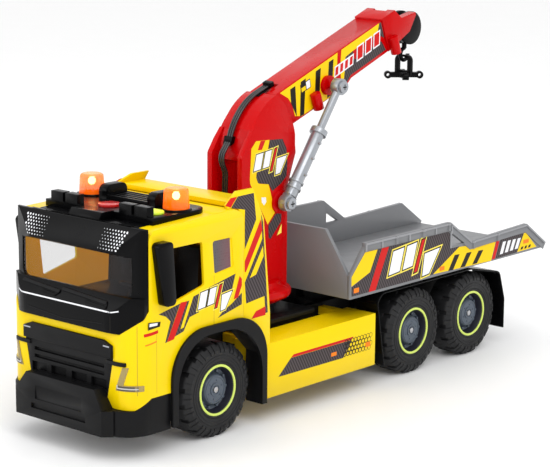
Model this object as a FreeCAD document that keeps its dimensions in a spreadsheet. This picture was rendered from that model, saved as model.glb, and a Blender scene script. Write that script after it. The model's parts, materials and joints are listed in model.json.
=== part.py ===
"""Toy tow truck: three-axle cab-over with a tilting load tray and a slewing crane.

Millimetres. The finished part faces -Y, its left side is +X and it stands on z = 0, with
the origin under the middle of its length and width. Pieces are drawn with y measured from
the front axle and are shifted to that origin by their Placement. Boom pieces are drawn
along the boom, from its pivot, and cylinder pieces from their lower pin.
"""
import FreeCAD, Part
import math
import os
import re
import Sketcher
from FreeCAD import Vector

WHEEL_SIZES = {
    "tyre_radius": 41, "tyre_width": 30, "tyre_shoulder": 4, "tyre_bead": 1.5,
    "tyre_rib_half": 4, "notch_half": 2.1, "notch_depth": 2,
    "rim_radius": 24, "rim_lip": 2.2, "dish_depth": 7, "ring_radius": 22.3, "ring_width": 2.2,
    "hub_radius": 12.5, "hub_depth": 2.5, "hub_boss_radius": 6, "body_half": 78,
    "track_set": 19.2, "wheel_half_track": "=body_half - track_set",
    "axle_radius": 2.5, "wheel_running_gap": 0.08, "axle_end": 3,
    "middle_axle_reach": 271.6, "rear_axle_gap": 92.5,
    "front_reach": 116, "tail_reach": 480,
}
FRAME_SIZES = {
    "rail_inside": 14, "rail_outside": 22, "rail_top": 74, "rail_bottom": 54,
    "rail_nose": 96, "rail_tail": 402, "hanger_half": 12, "hanger_foot": 6, "hanger_drop": 8,
    "cross_beam": 8, "cross_beam_drop": 12,
    "deck_front": 62, "deck_rear": 162, "deck_half": 42, "deck_height": 4,
    "turntable_radius": 26, "turntable_height": 9.7,
    "spigot_radius": 10, "spigot_height": 9,
    "skirt_front": 52, "skirt_rear": 207, "skirt_bottom": 22, "skirt_top": 71,
    "skirt_inside": 44, "skirt_wall": 3,
    "guard_thick": 1.6, "guard_top": 88.6, "guard_rear": 414.5, "guard_foot": 18,
    "guard_shoulder_set": 9.6, "guard_shoulder_drop": 11,
    "flap_front": 209, "flap_toe": 220,
}
CAB_SIZES = {
    "cab_front": 103, "cab_rear": 26, "cab_wall": 2.6, "cab_top": 195, "cab_top_front": 191,
    "cab_corner": 22, "roof_round": 9, "waist_front": 107, "waist_side": 126,
    "mask_seat": 86, "corner_foot": 44, "corner_dip": 97, "corner_rise": 84, "side_foot": 53.2,
    "foot_seam": 0.3, "side_front_foot": 62,
    "arch_front": 60, "arch_shoulder_front": 34, "arch_top": 99, "arch_shoulder_rear": 20,
    "arch_rear": 52, "arch_rise": 66, "arch_round": 16, "arch_lip": 3, "arch_depth": 18,
    "arch_proud": 2, "flap_drop": 19,
    "sill_front": 127.6, "sill_rear": 137, "window_top": 174, "window_front": 67,
    "window_rear": 22, "pane_front": 12.5, "pane_rear": 11, "pane_bottom": 144,
    "pane_top": 172.5, "pane_depth": 0.8, "floor_thick": 3,
    "mask_front": 107, "mask_chin": 107.5, "mask_line": 124, "screen_bottom": 137,
    "screen_top": 169.5, "screen_side": 12.5, "screen_half": "=body_half - screen_side",
    "screen_lean": 2.5, "screen_face": 98,
    "screen_thick": 1.6, "screen_set": 0.6, "screen_corner": 5,
    "hood_shoulder": 23, "hood_flat_half": "=body_half - hood_shoulder", "hood_corner_front": 91.5,
    "top_shoulder": 30, "top_flat_half": "=body_half - top_shoulder", "top_corner_front": 88.5,
    "visor_front": 101, "visor_top": 193, "visor_crown_reach": 90,
    "mask_set": 1, "mask_half": "=body_half - mask_set", "mask_round": 30,
    "mask_edge_round": 2, "mask_wall": 2.6,
    "grille_side": 25, "grille_half": "=body_half - grille_side", "grille_taper": 8,
    "grille_foot_half": "=grille_half - grille_taper", "grille_bottom": 46, "grille_bar_foot": 86,
    "grille_bar": 14, "grille_chamfer": 3.5, "grille_chamfer_run": 9.5,
    "grille_top": "=grille_bar_foot + grille_bar", "grille_proud": 2.5, "grille_depth": 6,
    "grille_slot": 2.8,
    "slot_half": 42, "slot_high_drop": 10, "slot_low_drop": 16.5, "vent_half": 9, "vent_start": 3.5,
    "vent_pitch": 23.5, "vent_bottom": 57, "vent_top": 66, "fin_inside": 46, "fin_outside": 66,
    "fin_bottom": 80.5, "fin_top": 84, "fin_proud": 1.5,
    "bumper_bottom": 22, "bumper_wall": 3, "bumper_side_run": 26,
    "bumper_flat_half": "=body_half - bumper_side_run",
    "bumper_set": 1.5, "bumper_side": "=body_half - bumper_set", "bumper_corner": 26,
    "bumper_rear": 61, "bumper_step": 7,
    "plate_taper": 11, "plate_top_half": "=bumper_flat_half - plate_taper", "plate_rise": 59.5,
    "plate_slope": 2, "sign_half": 28, "sign_bottom": 38.5, "sign_top": 50, "sign_depth": 1,
    "mouth_half": 33, "mouth_bottom": 30, "mouth_top": 34.5, "mouth_depth": 2,
    "lamp_proud": 0.8, "lamp_set": 2, "lamp_outside": "=body_half - lamp_set", "lamp_width": 20,
    "lamp_inside": "=lamp_outside - lamp_width", "lamp_bottom": 60,
    "lamp_top": 80, "lamp_stroke": 5,
    "mirror_depth": 8, "mirror_front": 84, "mirror_rear": 63, "mirror_bottom": 129,
    "mirror_top": 182, "mirror_round": 4,
    "dash_height": 28, "dash_depth": 26, "wheel_rim_radius": 11, "wheel_rim_thick": 1.6,
    "seat_x": 33, "seat_half": 21, "seat_front": 42, "seat_rear": 6, "seat_base": 16,
    "seat_back": 62, "seat_back_thick": 9, "seat_round": 3,
}
ROOF_SIZES = {
    "rack_set": 14, "rack_half": "=body_half - rack_set", "rack_front": 68, "rack_rear": 1,
    "rack_thick": 2.5, "rack_round": 14,
    "beacon_x": 50.5, "beacon_y": 27, "beacon_radius": 11.2, "beacon_height": 17,
    "beacon_foot": 1.5, "beacon_foot_radius": 13, "beacon_round": 3,
    "lamp_box_inner": 25, "lamp_box_width": 14.5, "lamp_box_gap": 3.2, "lamp_box_height": 8,
    "lamp_box_depth": 8, "hood_half": 18, "hood_height": 3.2, "hood_front": 85, "hood_slope": 4,
    "hood_depth": 18,
    "button_x": 2.8, "button_y": 52.4, "button_radius": 9.3, "button_height": 2,
    "dome_x": 47.5, "dome_y": 50, "dome_radius": 8.5, "dome_height": 4,
    "bracket_x": 29, "bracket_width": 9, "bracket_front": 35, "bracket_rear": 10,
    "bracket_height": 12, "slat_pitch": 5.5, "slat_thick": 2.6, "slat_height": 4,
    "fairing_rear_foot": 60, "fairing_rear_waist": 51, "fairing_rear_top": 53, "fairing_crown": 206.5,
    "lean_start": 183, "wing_set": 14, "wing_half": "=body_half - wing_set", "wing_front": 14,
    "wing_middle": 32.5, "wing_toe": 2.5,
    "fairing_wall": 3, "fairing_seam": 0.4, "deck_spoiler": 4,
}
CRANE_SIZES = {
    "slew_reach": 115, "flange_radius": 41, "flange_foot_radius": 30, "flange_foot_rise": 6,
    "flange_height": 12, "flange_neck_rise": 19, "flange_neck_radius": 31, "flange_round": 3,
    "column_half": 21, "column_front": 29, "column_rear": 32, "column_round": 5,
    "shoulder_drop": 2.5, "shoulder_set": 14.6, "face_drop": 24, "bulge_reach": 43,
    "bulge_foot_drop": 58, "bulge_low_drop": 41, "bulge_high_drop": 28, "bulge_top_drop": 16,
    "neck_half": 17.8, "neck_foot_drop": 12, "neck_rise": 8,
    "channel_half": 15.5, "channel_depth": 16, "channel_foot": 100,
    "cowl_front": 19, "cowl_front_rise": 11.6, "cowl_front_round": 58, "cowl_tip_reach": 19.5,
    "cowl_tip_rise": 26.2, "cowl_rear": 42, "cowl_rear_rise": 13.7, "cowl_rear_round": 43,
    "cowl_foot_drop": 30, "cowl_roof": 4, "bay_front": 7, "bay_front_rise": 10, "bay_gap": 0.4,
    "bay_floor_drop": 14,
    "hose_radius": 1, "hose_pitch": 2.4, "hose_shift": 3.5, "hose_shift_drop": 12,
    "hose_face_reach": 23, "hose_foot_drop": 69.6, "hose_bend_drop": 41, "hose_lip_reach": 31,
    "hose_lip_drop": 27, "hose_knee_reach": 19.2, "hose_knee_drop": 12, "hose_round": 12,
    "hose_brow_reach": 10.9, "hose_brow_rise": 17.2, "hose_brow_round": 54,
    "hose_end_reach": 34, "hose_end_rise": 34,
    "clip_half": 4.6, "clip_length": 5, "clip_drop": 15, "clip_height": 6, "clip_seat": 17.6,
    "clip_seat_set": 1.8, "clip_thick": 4.8, "clip_toe": 7, "clip_start": 10.5, "clip_strap": 0.85,
    "clip_top": 4.6, "clip_rest": 0.15,
    "pivot_reach": 22, "pivot_height": 248, "pivot_pin_radius": 4, "pivot_pin_half": 17.2,
    "pin_gap": 0.06, "boom_half": 15.4,
    "boom_top": 24.7, "boom_end": 168, "boom_low": 11.8,
    "boom_step": 100, "boom_step_run": 10, "boom_high": 7.5, "boom_root_radius": 10.5,
    "boom_root_rise": 6, "boom_wall": 3.4, "boom_start": 9,
    "root_notch": 27, "root_notch_depth": 3.2, "root_notch_half": 5.8, "root_notch_shift": 2,
    "slide_gap": 0.35, "beam_start": 86, "boom_bore_start": 70,
    "lift_reach": 75.4, "lift_rise": 1.7, "lift_boss_radius": 9, "lift_boss_height": 4,
    "lift_pin_radius": 2.6, "rod_eye_play": 1.4,
    "foot_reach": 21, "foot_height": 177.5, "foot_boss_radius": 10.5, "foot_boss_height": 2,
    "cylinder_x": 30, "eye_half": 4, "eye_radius": 7.5, "eye_pin_radius": 3.4, "eye_gap": 0.3,
    "pin_head": 2, "barrel_radius": 6, "barrel_length": 71, "barrel_collar": 8,
    "barrel_collar_length": 5, "barrel_bore": 4.4, "barrel_ring": 7, "barrel_ring_length": 2,
    "barrel_stud_radius": 1.3, "barrel_stud_height": 2, "rod_radius": 3.7, "rod_inside": 42,
    "peg_radius": 5, "peg_reach": 54, "peg_top": 4, "peg_foot": 11.5, "peg_offset": 19.4,
    "tip_peg_set": 7, "tip_peg_top": 5, "tip_peg_foot": 12,
    "head_plate_half": 16.6, "collar_rise": 26, "collar_run": 21,
    "notch_reach": 28.5, "notch_rise": 14.5, "horn_reach": 50, "horn_rise": 11,
    "plate_tip_reach": 36, "plate_tip_low": 3,
    "tip_reach": 217, "tip_low": 6, "tip_radius": 16, "tip_half": 8, "tip_cheek": 4,
    "tip_pin_radius": 2.5, "tip_root": 186,
}
HOOK_SIZES = {
    "hook_eye_radius": 6, "hook_half": 3.2, "shank_radius": 2.4, "hook_turn_radius": 5.7,
    "hook_section": 2, "hook_drop": 26, "link_half": 5.6, "link_height": 17,
    "link_section": 2, "spreader_drop": 46, "arm_reach": 15.5,
    "arm_half": 3, "arm_thick": 5, "arm_eye_radius": 3.6, "arm_eye_bore": 1.5,
    "spreader_hub_radius": 6,
}
BED_SIZES = {
    "bed_bottom": 91, "bed_front": 166, "bed_proud": 2,
    "bed_half": "=body_half + bed_proud", "bed_wall": 3, "bed_floor": 4,
    "bed_nose_height": 113, "bed_nose_set": 19.5, "bed_rail_top": 140.5, "bed_drop_start": 316,
    "bed_drop_end": 351, "bed_low_rail": 117, "bed_tail_rise": 120, "bed_tail_start": 445,
    "bed_tail_tip": 96, "rail_proud": 1.2, "rail_band": 8, "rail_rib": 3,
    "headboard_thick": 4, "headboard_crest": 152, "headboard_crest_half": 50,
    "headboard_side": 137, "bed_beam_inside": 5, "bed_beam_outside": 13.6,
    "bed_beam_front": 190, "bed_rest_gap": 0.3,
    "hinge_reach": 392, "hinge_height": 84, "hinge_radius": 6, "hinge_pin_radius": 2,
    "rib_start": 230, "rib_pitch": 40.8, "strut_toe": 12, "strut_web": 4,
}
ANGLES = {"boom_rise": 20.5, "hose_lean": 2, "steering_lean": 33}
SHARES = {
    "shoulder_share": 1.5, "lamp_foot_share": 1.5, "lamp_outer_share": 2.4, "lamp_inner_share": 1.4,
    "dash_brow_share": 0.7, "dash_front_share": 0.8, "post_share": 1.5, "seat_taper_share": 1.3,
}
SIZES = {}
for group in (WHEEL_SIZES, FRAME_SIZES, CAB_SIZES, ROOF_SIZES, CRANE_SIZES, HOOK_SIZES, BED_SIZES,
              ANGLES, SHARES):
    SIZES.update(group)

doc = FreeCAD.newDocument("toy_tow_truck")
sheet = doc.addObject("Spreadsheet::Sheet", "sizes")
for row, (alias, number) in enumerate(SIZES.items(), 1):
    sheet.set("A%d" % row, alias)
    sheet.set("B%d" % row, str(number))
    sheet.setAlias("B%d" % row, alias)
doc.recompute()

# Places worked out from the sizes, as formulas
ORIGIN_Y = "(front_reach - tail_reach) / 2"
AXLE_Z = "tyre_radius"
MIDDLE_Y = "middle_axle_reach"
REAR_Y = "middle_axle_reach + rear_axle_gap"
TYRE_INSIDE = "wheel_half_track - tyre_width / 2"
DECK_TOP = "rail_top + deck_height"
FLANGE_FOOT = "rail_top + deck_height + turntable_height + bed_rest_gap"
PIVOT_Y = "slew_reach + pivot_reach"
FOOT_Y = "slew_reach + foot_reach"
LIFT_Y = "slew_reach + pivot_reach + lift_reach * cos(boom_rise) - lift_rise * sin(boom_rise)"
LIFT_Z = "pivot_height + lift_reach * sin(boom_rise) + lift_rise * cos(boom_rise)"
CYLINDER_RISE = f"atan2(({LIFT_Z}) - foot_height; ({LIFT_Y}) - ({FOOT_Y}))"
CYLINDER_LENGTH = f"sqrt((({LIFT_Z}) - foot_height)^2 + (({LIFT_Y}) - ({FOOT_Y}))^2)"
TIP_Y = "slew_reach + pivot_reach + tip_reach * cos(boom_rise) + tip_low * sin(boom_rise)"
TIP_Z = "pivot_height + tip_reach * sin(boom_rise) - tip_low * cos(boom_rise)"


def formula(text):
    """The text of a size formula, with each size's name pointed at the sheet."""
    return re.sub(r"[a-z]\w*", lambda m: "sizes." + m[0] if m[0] in SIZES else m[0], text)


def value(text):
    """What a size formula comes to."""
    return float(sheet.evalExpression(text))


def bind(thing, prop, text):
    thing.setExpression(prop, formula(text))


# Outlines, pads and turned bodies

PLANES = {"xy": "XY_Plane", "xz": "XZ_Plane", "yz": "YZ_Plane"}


def tangent_points(spots, index):
    """Where the round at one corner of an outline starts and ends, and its centre."""
    spot, radius = spots[index]
    back = (spots[index - 1][0] - spot).normalize()
    ahead = (spots[(index + 1) % len(spots)][0] - spot).normalize()
    half = back.getAngle(ahead) / 2
    reach = radius / math.tan(half)
    centre = spot + (back + ahead).normalize() * (radius / math.sin(half))
    return spot + back * reach, spot + ahead * reach, centre


def draw(sketch, points, closed=True):
    """An outline through points; a third formula in a point rounds that corner."""
    spots = [(Vector(value(p[0]), value(p[1]), 0), value(p[2]) if len(p) > 2 else 0) for p in points]
    count = len(spots)
    ends = []
    for index, (spot, radius) in enumerate(spots):
        ends.append(tangent_points(spots, index) if radius else (spot, spot, spot))
    for index in range(count if closed else count - 1):
        follow = (index + 1) % count
        sketch.addGeometry(Part.LineSegment(ends[index][1], ends[follow][0]))
    for index, (point, (spot, radius)) in enumerate(zip(points, spots)):
        before, after = (index - 1) % count, index
        held = (after, 1)
        if radius:
            arc, start = round_corner(sketch, ends[index], radius)
            corner = sketch.addGeometry(Part.Point(spot), True)
            sketch.addConstraint(Sketcher.Constraint("Tangent", before, 2, arc, start))
            sketch.addConstraint(Sketcher.Constraint("Tangent", after, 1, arc, 2 if start == 1 else 1))
            sketch.addConstraint(Sketcher.Constraint("PointOnObject", corner, 1, before))
            sketch.addConstraint(Sketcher.Constraint("PointOnObject", corner, 1, after))
            hold(sketch, Sketcher.Constraint("Radius", arc, radius), point[2])
            held = (corner, 1)
        elif closed or 0 < index < count - 1:
            sketch.addConstraint(Sketcher.Constraint("Coincident", before, 2, after, 1))
        elif index:
            held = (before, 2)
        for kind, text in zip(("DistanceX", "DistanceY"), point):
            hold(sketch, Sketcher.Constraint(kind, -1, 1, held[0], held[1], value(text)), text)


def round_corner(sketch, ends, radius):
    """The arc of a rounded corner, and which of its ends the line before it meets."""
    first, last, centre = ends
    leftward = (first - centre).cross(last - centre).z > 0
    start, stop = (first, last) if leftward else (last, first)
    angles = [math.atan2(p.y - centre.y, p.x - centre.x) for p in (start, stop)]
    if angles[1] < angles[0]:
        angles[1] += 2 * math.pi
    circle = Part.Circle(centre, Vector(0, 0, 1), radius)
    return sketch.addGeometry(Part.ArcOfCircle(circle, *angles)), 1 if leftward else 2


def hold(sketch, constraint, text):
    bind(sketch, "Constraints[%d]" % sketch.addConstraint(constraint), text)


def new_sketch(body, name, plane, height="0"):
    """A sketch on one of the body's own planes, at a height along the plane's normal."""
    sketch = body.newObject("Sketcher::SketchObject", name)
    support = next(f for f in body.Origin.OriginFeatures if f.Role == PLANES[plane])
    sketch.AttachmentSupport = (support, [""])
    sketch.MapMode = "FlatFace"
    bind(sketch, "AttachmentOffset.Base.z", height)
    return sketch


def slab(name, plane, low, high, points):
    """A plate of the outline's shape, between two places along the axis across its plane."""
    body = doc.addObject("PartDesign::Body", name)
    start = f"-({high})" if plane == "xz" else low
    sketch = new_sketch(body, name + "_outline", plane, start)
    draw(sketch, points)
    pad = body.newObject("PartDesign::Pad", name + "_pad")
    pad.Profile = sketch
    bind(pad, "Length", f"({high}) - ({low})")
    return body


def turned(name, plane, axis, points):
    """A body turned about the sketch's H_Axis or V_Axis."""
    body = doc.addObject("PartDesign::Body", name)
    sketch = new_sketch(body, name + "_outline", plane)
    draw(sketch, points)
    turn = body.newObject("PartDesign::Revolution", name + "_turn")
    turn.Profile = sketch
    turn.ReferenceAxis = (sketch, [axis])
    turn.Angle = 360
    return body


def tube(name, radius, height, points):
    """A round tube along a path in the YZ plane, at one place across it."""
    body = doc.addObject("PartDesign::Body", name)
    path = new_sketch(body, name + "_path", "yz", height)
    draw(path, points, closed=False)
    section = new_sketch(body, name + "_section", "xy", points[0][1])
    centre = Vector(value(height), value(points[0][0]), 0)
    circle = section.addGeometry(Part.Circle(centre, Vector(0, 0, 1), value(radius)))
    hold(section, Sketcher.Constraint("Radius", circle, value(radius)), radius)
    hold(section, Sketcher.Constraint("DistanceX", -1, 1, circle, 3, value(height)), height)
    hold(section, Sketcher.Constraint("DistanceY", -1, 1, circle, 3, value(points[0][0])), points[0][0])
    doc.recompute()
    pipe = body.newObject("PartDesign::AdditivePipe", name + "_pipe")
    pipe.Profile = section
    pipe.Spine = (path, ["Edge%d" % (n + 1) for n in range(len(path.Shape.Edges))])
    return body


# Primitives and booleans

ALONG = {"x": (Vector(0, 1, 0), 90), "y": (Vector(1, 0, 0), -90), "z": (Vector(0, 0, 1), 0)}


def block(name, x, y, z):
    """A box between two formulas along each axis."""
    box = doc.addObject("Part::Box", name)
    for prop, axis, (low, high) in zip(("Length", "Width", "Height"), "xyz", (x, y, z)):
        bind(box, prop, f"({high}) - ({low})")
        bind(box, "Placement.Base." + axis, low)
    return box


def rod(name, axis, radius, low, high, centre=("0", "0")):
    """A cylinder along an axis; centre gives its other two places in order."""
    cylinder = doc.addObject("Part::Cylinder", name)
    cylinder.Placement.Rotation = FreeCAD.Rotation(*ALONG[axis])
    places = dict(zip("xyz".replace(axis, ""), centre))
    places[axis] = low
    for letter, text in places.items():
        bind(cylinder, "Placement.Base." + letter, text)
    bind(cylinder, "Radius", radius)
    bind(cylinder, "Height", f"({high}) - ({low})")
    return cylinder


def fuse(name, *things):
    result = doc.addObject("Part::MultiFuse", name)
    result.Shapes = list(things)
    return result


def common(name, *things):
    result = doc.addObject("Part::MultiCommon", name)
    result.Shapes = list(things)
    return result


def cut(name, base, *tools):
    result = doc.addObject("Part::Cut", name)
    result.Base = base
    result.Tool = tools[0] if len(tools) == 1 else fuse(name + "_tool", *tools)
    return result


def mirrored(thing):
    """The same piece on the other side of the truck."""
    copy = doc.addObject("Part::Mirroring", thing.Name + "_right")
    copy.Source = thing
    copy.Normal = Vector(1, 0, 0)
    return copy


def pair(name, thing):
    result = doc.addObject("Part::Compound", name)
    result.Links = [thing, mirrored(thing)]
    return result


def placed(name, thing, x="0", y="0", z="0", tilt=None):
    """The thing moved to a place, and tilted about the X axis."""
    result = doc.addObject("Part::Compound", name)
    result.Links = [thing]
    if tilt:
        result.Placement.Rotation = FreeCAD.Rotation(Vector(1, 0, 0), value(tilt))
        bind(result, "Placement.Rotation.Angle", tilt)
    for letter, text in zip("xyz", (x, y, z)):
        bind(result, "Placement.Base." + letter, text)
    return result


NODES = []


def node(label, thing, x="0", y="0", z="0", tilt=None, spin=None, lean=None):
    """Name a finished piece and put it in its place on the truck."""
    wrapped = doc.addObject("Part::Compound", label + "_piece") if thing.ExpressionEngine else thing
    if wrapped is not thing:
        wrapped.Links = [thing]
    wrapped.Label = label
    if tilt:
        wrapped.Placement.Rotation = FreeCAD.Rotation(Vector(1, 0, 0), value(tilt))
        bind(wrapped, "Placement.Rotation.Angle", tilt)
    if lean:
        wrapped.Placement.Rotation = FreeCAD.Rotation(Vector(0, 1, 0), value(lean))
        bind(wrapped, "Placement.Rotation.Angle", lean)
    if spin:
        wrapped.Placement.Rotation = FreeCAD.Rotation(Vector(0, 0, 1), value(spin))
    bind(wrapped, "Placement.Base.x", x)
    bind(wrapped, "Placement.Base.y", f"({y}) + {ORIGIN_Y}")
    bind(wrapped, "Placement.Base.z", z)
    NODES.append(wrapped)
    return wrapped


# Wheels: tyre and rim each turned about the axle, drawn from the wheel's middle plane

HALF_TYRE = "tyre_width / 2"


TYRE_NOTCHES = 18
notches = doc.addObject("Part::Compound", "tyre_notches")
notch_list = []
NOTCH_SPANS = {"in": (f"-({HALF_TYRE})", "-tyre_rib_half"), "out": ("tyre_rib_half", HALF_TYRE)}
for side, (low, high) in NOTCH_SPANS.items():
    notch = block("tyre_notch_" + side, (low, high), ("-notch_half", "notch_half"),
                  ("tyre_radius - notch_depth", "tyre_radius * 2"))
    for n in range(TYRE_NOTCHES):
        step = doc.addObject("Part::Compound", f"tyre_notch_{side}_{n}")
        step.Links = [notch]
        turn_share = (n + (0.5 if side == "in" else 0)) / TYRE_NOTCHES
        step.Placement.Rotation = FreeCAD.Rotation(Vector(1, 0, 0), 360 * turn_share)
        notch_list.append(step)
notches.Links = notch_list


def tyre(name):
    edge, crown = HALF_TYRE, "tyre_radius"
    return cut(name + "_notched", tyre_round(name, edge, crown), notches)


def tyre_round(name, edge, crown):
    return turned(name, "xy", "H_Axis", [
        (f"-({edge}) + tyre_bead", "rim_radius"), (f"{edge} - tyre_bead", "rim_radius"),
        (edge, "rim_radius + tyre_bead"), (edge, f"{crown} - tyre_shoulder * shoulder_share"),
        (f"{edge} - tyre_shoulder", crown), (f"-({edge}) + tyre_shoulder", crown),
        (f"-({edge})", f"{crown} - tyre_shoulder * shoulder_share"),
        (f"-({edge})", "rim_radius + tyre_bead")])


def rim(name):
    bore = "axle_radius + wheel_running_gap"
    face = f"{HALF_TYRE} - tyre_bead"
    back = f"-({HALF_TYRE}) + tyre_bead"
    ring_foot = "ring_radius - ring_width"
    return turned(name, "xy", "H_Axis", [
        (f"{face} - dish_depth - rim_lip", bore), (f"{face} - hub_depth", bore),
        (f"{face} - hub_depth", "hub_radius"), (f"{face} - dish_depth", "hub_radius + rim_lip"),
        (f"{face} - dish_depth", f"{ring_foot} - rim_lip"), (face, ring_foot),
        (face, "rim_radius"), (back, "rim_radius"), (back, "rim_radius - rim_lip"),
        (f"{face} - dish_depth - rim_lip", "rim_radius - rim_lip * 2"),
        (f"{face} - dish_depth - rim_lip", "hub_boss_radius"), (back, "hub_boss_radius"),
        (back, bore), ])


AXLES = {"front": "0", "middle": MIDDLE_Y, "rear": REAR_Y}
for place, axle_y in AXLES.items():
    node(place + "_axle", rod(place + "_axle_rod", "x", "axle_radius",
         "-wheel_half_track - tyre_width / 2 + axle_end", "wheel_half_track + tyre_width / 2 - axle_end",
         ("0", AXLE_Z)), y=axle_y)
    for side, sign, spin in (("left", "", "0"), ("right", "-", "180")):
        wheel = f"{place}_{side}"
        spot = (sign + "wheel_half_track", axle_y, AXLE_Z)
        node(wheel + "_tyre", tyre(wheel + "_tyre_body"), *spot, spin=spin)
        node(wheel + "_rim", rim(wheel + "_rim_body"), *spot, spin=spin)

# Chassis: two rails with axle hangers, joined by cross beams

def hanger(axle_y):
    """The outline's points round one axle hanger, from front to rear along the rail's foot."""
    low = f"{AXLE_Z} - hanger_drop"
    return [(f"{axle_y} - hanger_half", "rail_bottom"), (f"{axle_y} - hanger_foot", low),
            (f"{axle_y} + hanger_foot", low), (f"{axle_y} + hanger_half", "rail_bottom")]


rail = slab("rail", "yz", "rail_inside", "rail_outside", [
    ("-rail_nose", "rail_bottom"), *hanger("0"), *hanger(MIDDLE_Y), *hanger(REAR_Y),
    ("rail_tail", "rail_bottom"), ("rail_tail", "hinge_height", "hinge_radius / 2"),
    ("hinge_reach + hinge_radius", "hinge_height + hinge_radius", "hinge_radius / 2"),
    ("hinge_reach - hinge_radius", "hinge_height + hinge_radius", "hinge_radius / 2"),
    ("hinge_reach - hinge_radius * 2", "rail_top"), ("-rail_nose", "rail_top")])
BEAMS = {"nose": "-rail_nose", "front": "arch_front", "crane_front": "slew_reach - spigot_radius * 2",
         "crane_rear": "slew_reach + spigot_radius + cross_beam / 2", "skirt": "skirt_rear - cross_beam",
         "bogie": "middle_axle_reach + rear_axle_gap / 2 - cross_beam / 2",
         "tail": "rail_tail - cross_beam"}
beams = [block("beam_" + name, ("-rail_outside", "rail_outside"), (y, f"{y} + cross_beam"),
               ("rail_top - cross_beam_drop", "rail_top")) for name, y in BEAMS.items()]
frame = fuse("frame", rail, mirrored(rail), *beams)
bores = [rod("frame_bore_" + name, "x", "axle_radius", "-rail_outside", "rail_outside", (y, AXLE_Z))
         for name, y in AXLES.items()]
hinge_bore = rod("frame_hinge_bore", "x", "hinge_pin_radius", "-rail_outside", "rail_outside",
                 ("hinge_reach", "hinge_height"))
node("chassis_frame", cut("frame_bored", frame, *bores, hinge_bore))
node("bed_hinge_pin", rod("hinge_pin", "x", "hinge_pin_radius", "-rail_outside", "rail_outside",
     ("hinge_reach", "hinge_height")))

# Crane deck on the rails, with the spigot that the crane turns on
deck = block("deck_plate", ("-deck_half", "deck_half"), ("deck_front", "deck_rear"), ("rail_top", DECK_TOP))
TURNTABLE_TOP = f"{DECK_TOP} + turntable_height"
turntable = rod("turntable", "z", "turntable_radius", "rail_top", TURNTABLE_TOP, ("0", "slew_reach"))
spigot = rod("spigot", "z", "spigot_radius", "rail_top", f"{TURNTABLE_TOP} + spigot_height",
             ("0", "slew_reach"))
node("crane_deck", fuse("deck", deck, turntable, spigot))

# Side skirts: moulded boxes open inward and below
skirt = cut("skirt",
            block("skirt_outside", ("skirt_inside", "body_half"), ("skirt_front", "skirt_rear"),
                  ("skirt_bottom", "skirt_top")),
            block("skirt_hollow", ("skirt_inside - skirt_wall", "body_half - skirt_wall"),
                  ("skirt_front + skirt_wall", "skirt_rear - skirt_wall"),
                  ("skirt_bottom - skirt_wall", "skirt_top - skirt_wall")))
TIES = {"front": "arch_front", "rear": "skirt_rear - cross_beam * 2"}
ties = [block("skirt_tie_" + name, ("rail_outside", "skirt_inside"), (tie_y, f"{tie_y} + cross_beam"),
              ("skirt_top - cross_beam", "skirt_top")) for name, tie_y in TIES.items()]
node("side_skirts", pair("skirts", fuse("skirt_tied", skirt, *ties)))

# Rear mudguards: one bent strip over both rear tyres on each side, with a stay to the rail
GUARD = [("flap_toe", "guard_foot"), ("flap_front", "guard_top - cross_beam", "cross_beam"),
         ("flap_front + cross_beam", "guard_top", "cross_beam"),
         ("rail_tail - rear_axle_gap / 2", "guard_top", "rear_axle_gap / 4"),
         ("guard_rear - guard_shoulder_set", "guard_top - guard_shoulder_drop", "cross_beam"),
         ("guard_rear", "hinge_height - cross_beam_drop * 3", "cross_beam"), ("guard_rear", "guard_foot")]


def inward(points, thick):
    """The same bent line moved in by the strip's thickness, back to front."""
    spots = [Vector(value(p[0]), value(p[1]), 0) for p in points]
    moved = []
    for index, point in enumerate(points):
        before = (spots[index] - spots[index - 1]).normalize() if index else None
        after = (spots[index + 1] - spots[index]).normalize() if index + 1 < len(spots) else None
        normals = [Vector(d.y, -d.x, 0) for d in (before, after) if d]
        middle = (normals[0] + normals[-1]).normalize()
        share = 1 / middle.dot(normals[0])
        x_share, y_share = middle.x * share, middle.y * share
        rounding = [f"{point[2]} - {thick}"] if len(point) > 2 else []
        moved.append((f"{point[0]} + {thick} * ({x_share:.5f})",
                      f"{point[1]} + {thick} * ({y_share:.5f})", *rounding))
    return moved[::-1]


guard = slab("guard", "yz", TYRE_INSIDE, "body_half", GUARD + inward(GUARD, "guard_thick"))
BOGIE_Y = "middle_axle_reach + rear_axle_gap / 2"
STAY_SPAN = (f"{BOGIE_Y} - cross_beam", f"{BOGIE_Y} + cross_beam")
stay = block("guard_stay", ("rail_outside", TYRE_INSIDE), STAY_SPAN, ("guard_top - guard_thick", "guard_top"))
stay_foot = block("guard_stay_foot", ("rail_outside", "rail_outside + cross_beam / 2"), STAY_SPAN,
                  ("rail_bottom", "guard_top"))
node("rear_mudguards", pair("guards", fuse("guard_stayed", guard, stay, stay_foot)))

# Cab: a hollow moulding, its side outline crossed with its plan outline

ARCH = [("-side_front_foot", "side_foot"), ("-arch_front", "arch_rise", "arch_round"),
        ("-arch_shoulder_front", "arch_top", "arch_round"), ("arch_shoulder_rear", "arch_top", "arch_round"),
        ("arch_rear", "arch_rise")]


def cab_plan(name, front, half, rear, corner, low, high):
    return slab(name, "xy", low, high, [
        (f"-({half})", rear), (f"-({half})", f"-({front})", corner),
        (half, f"-({front})", corner), (half, rear)])


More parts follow.
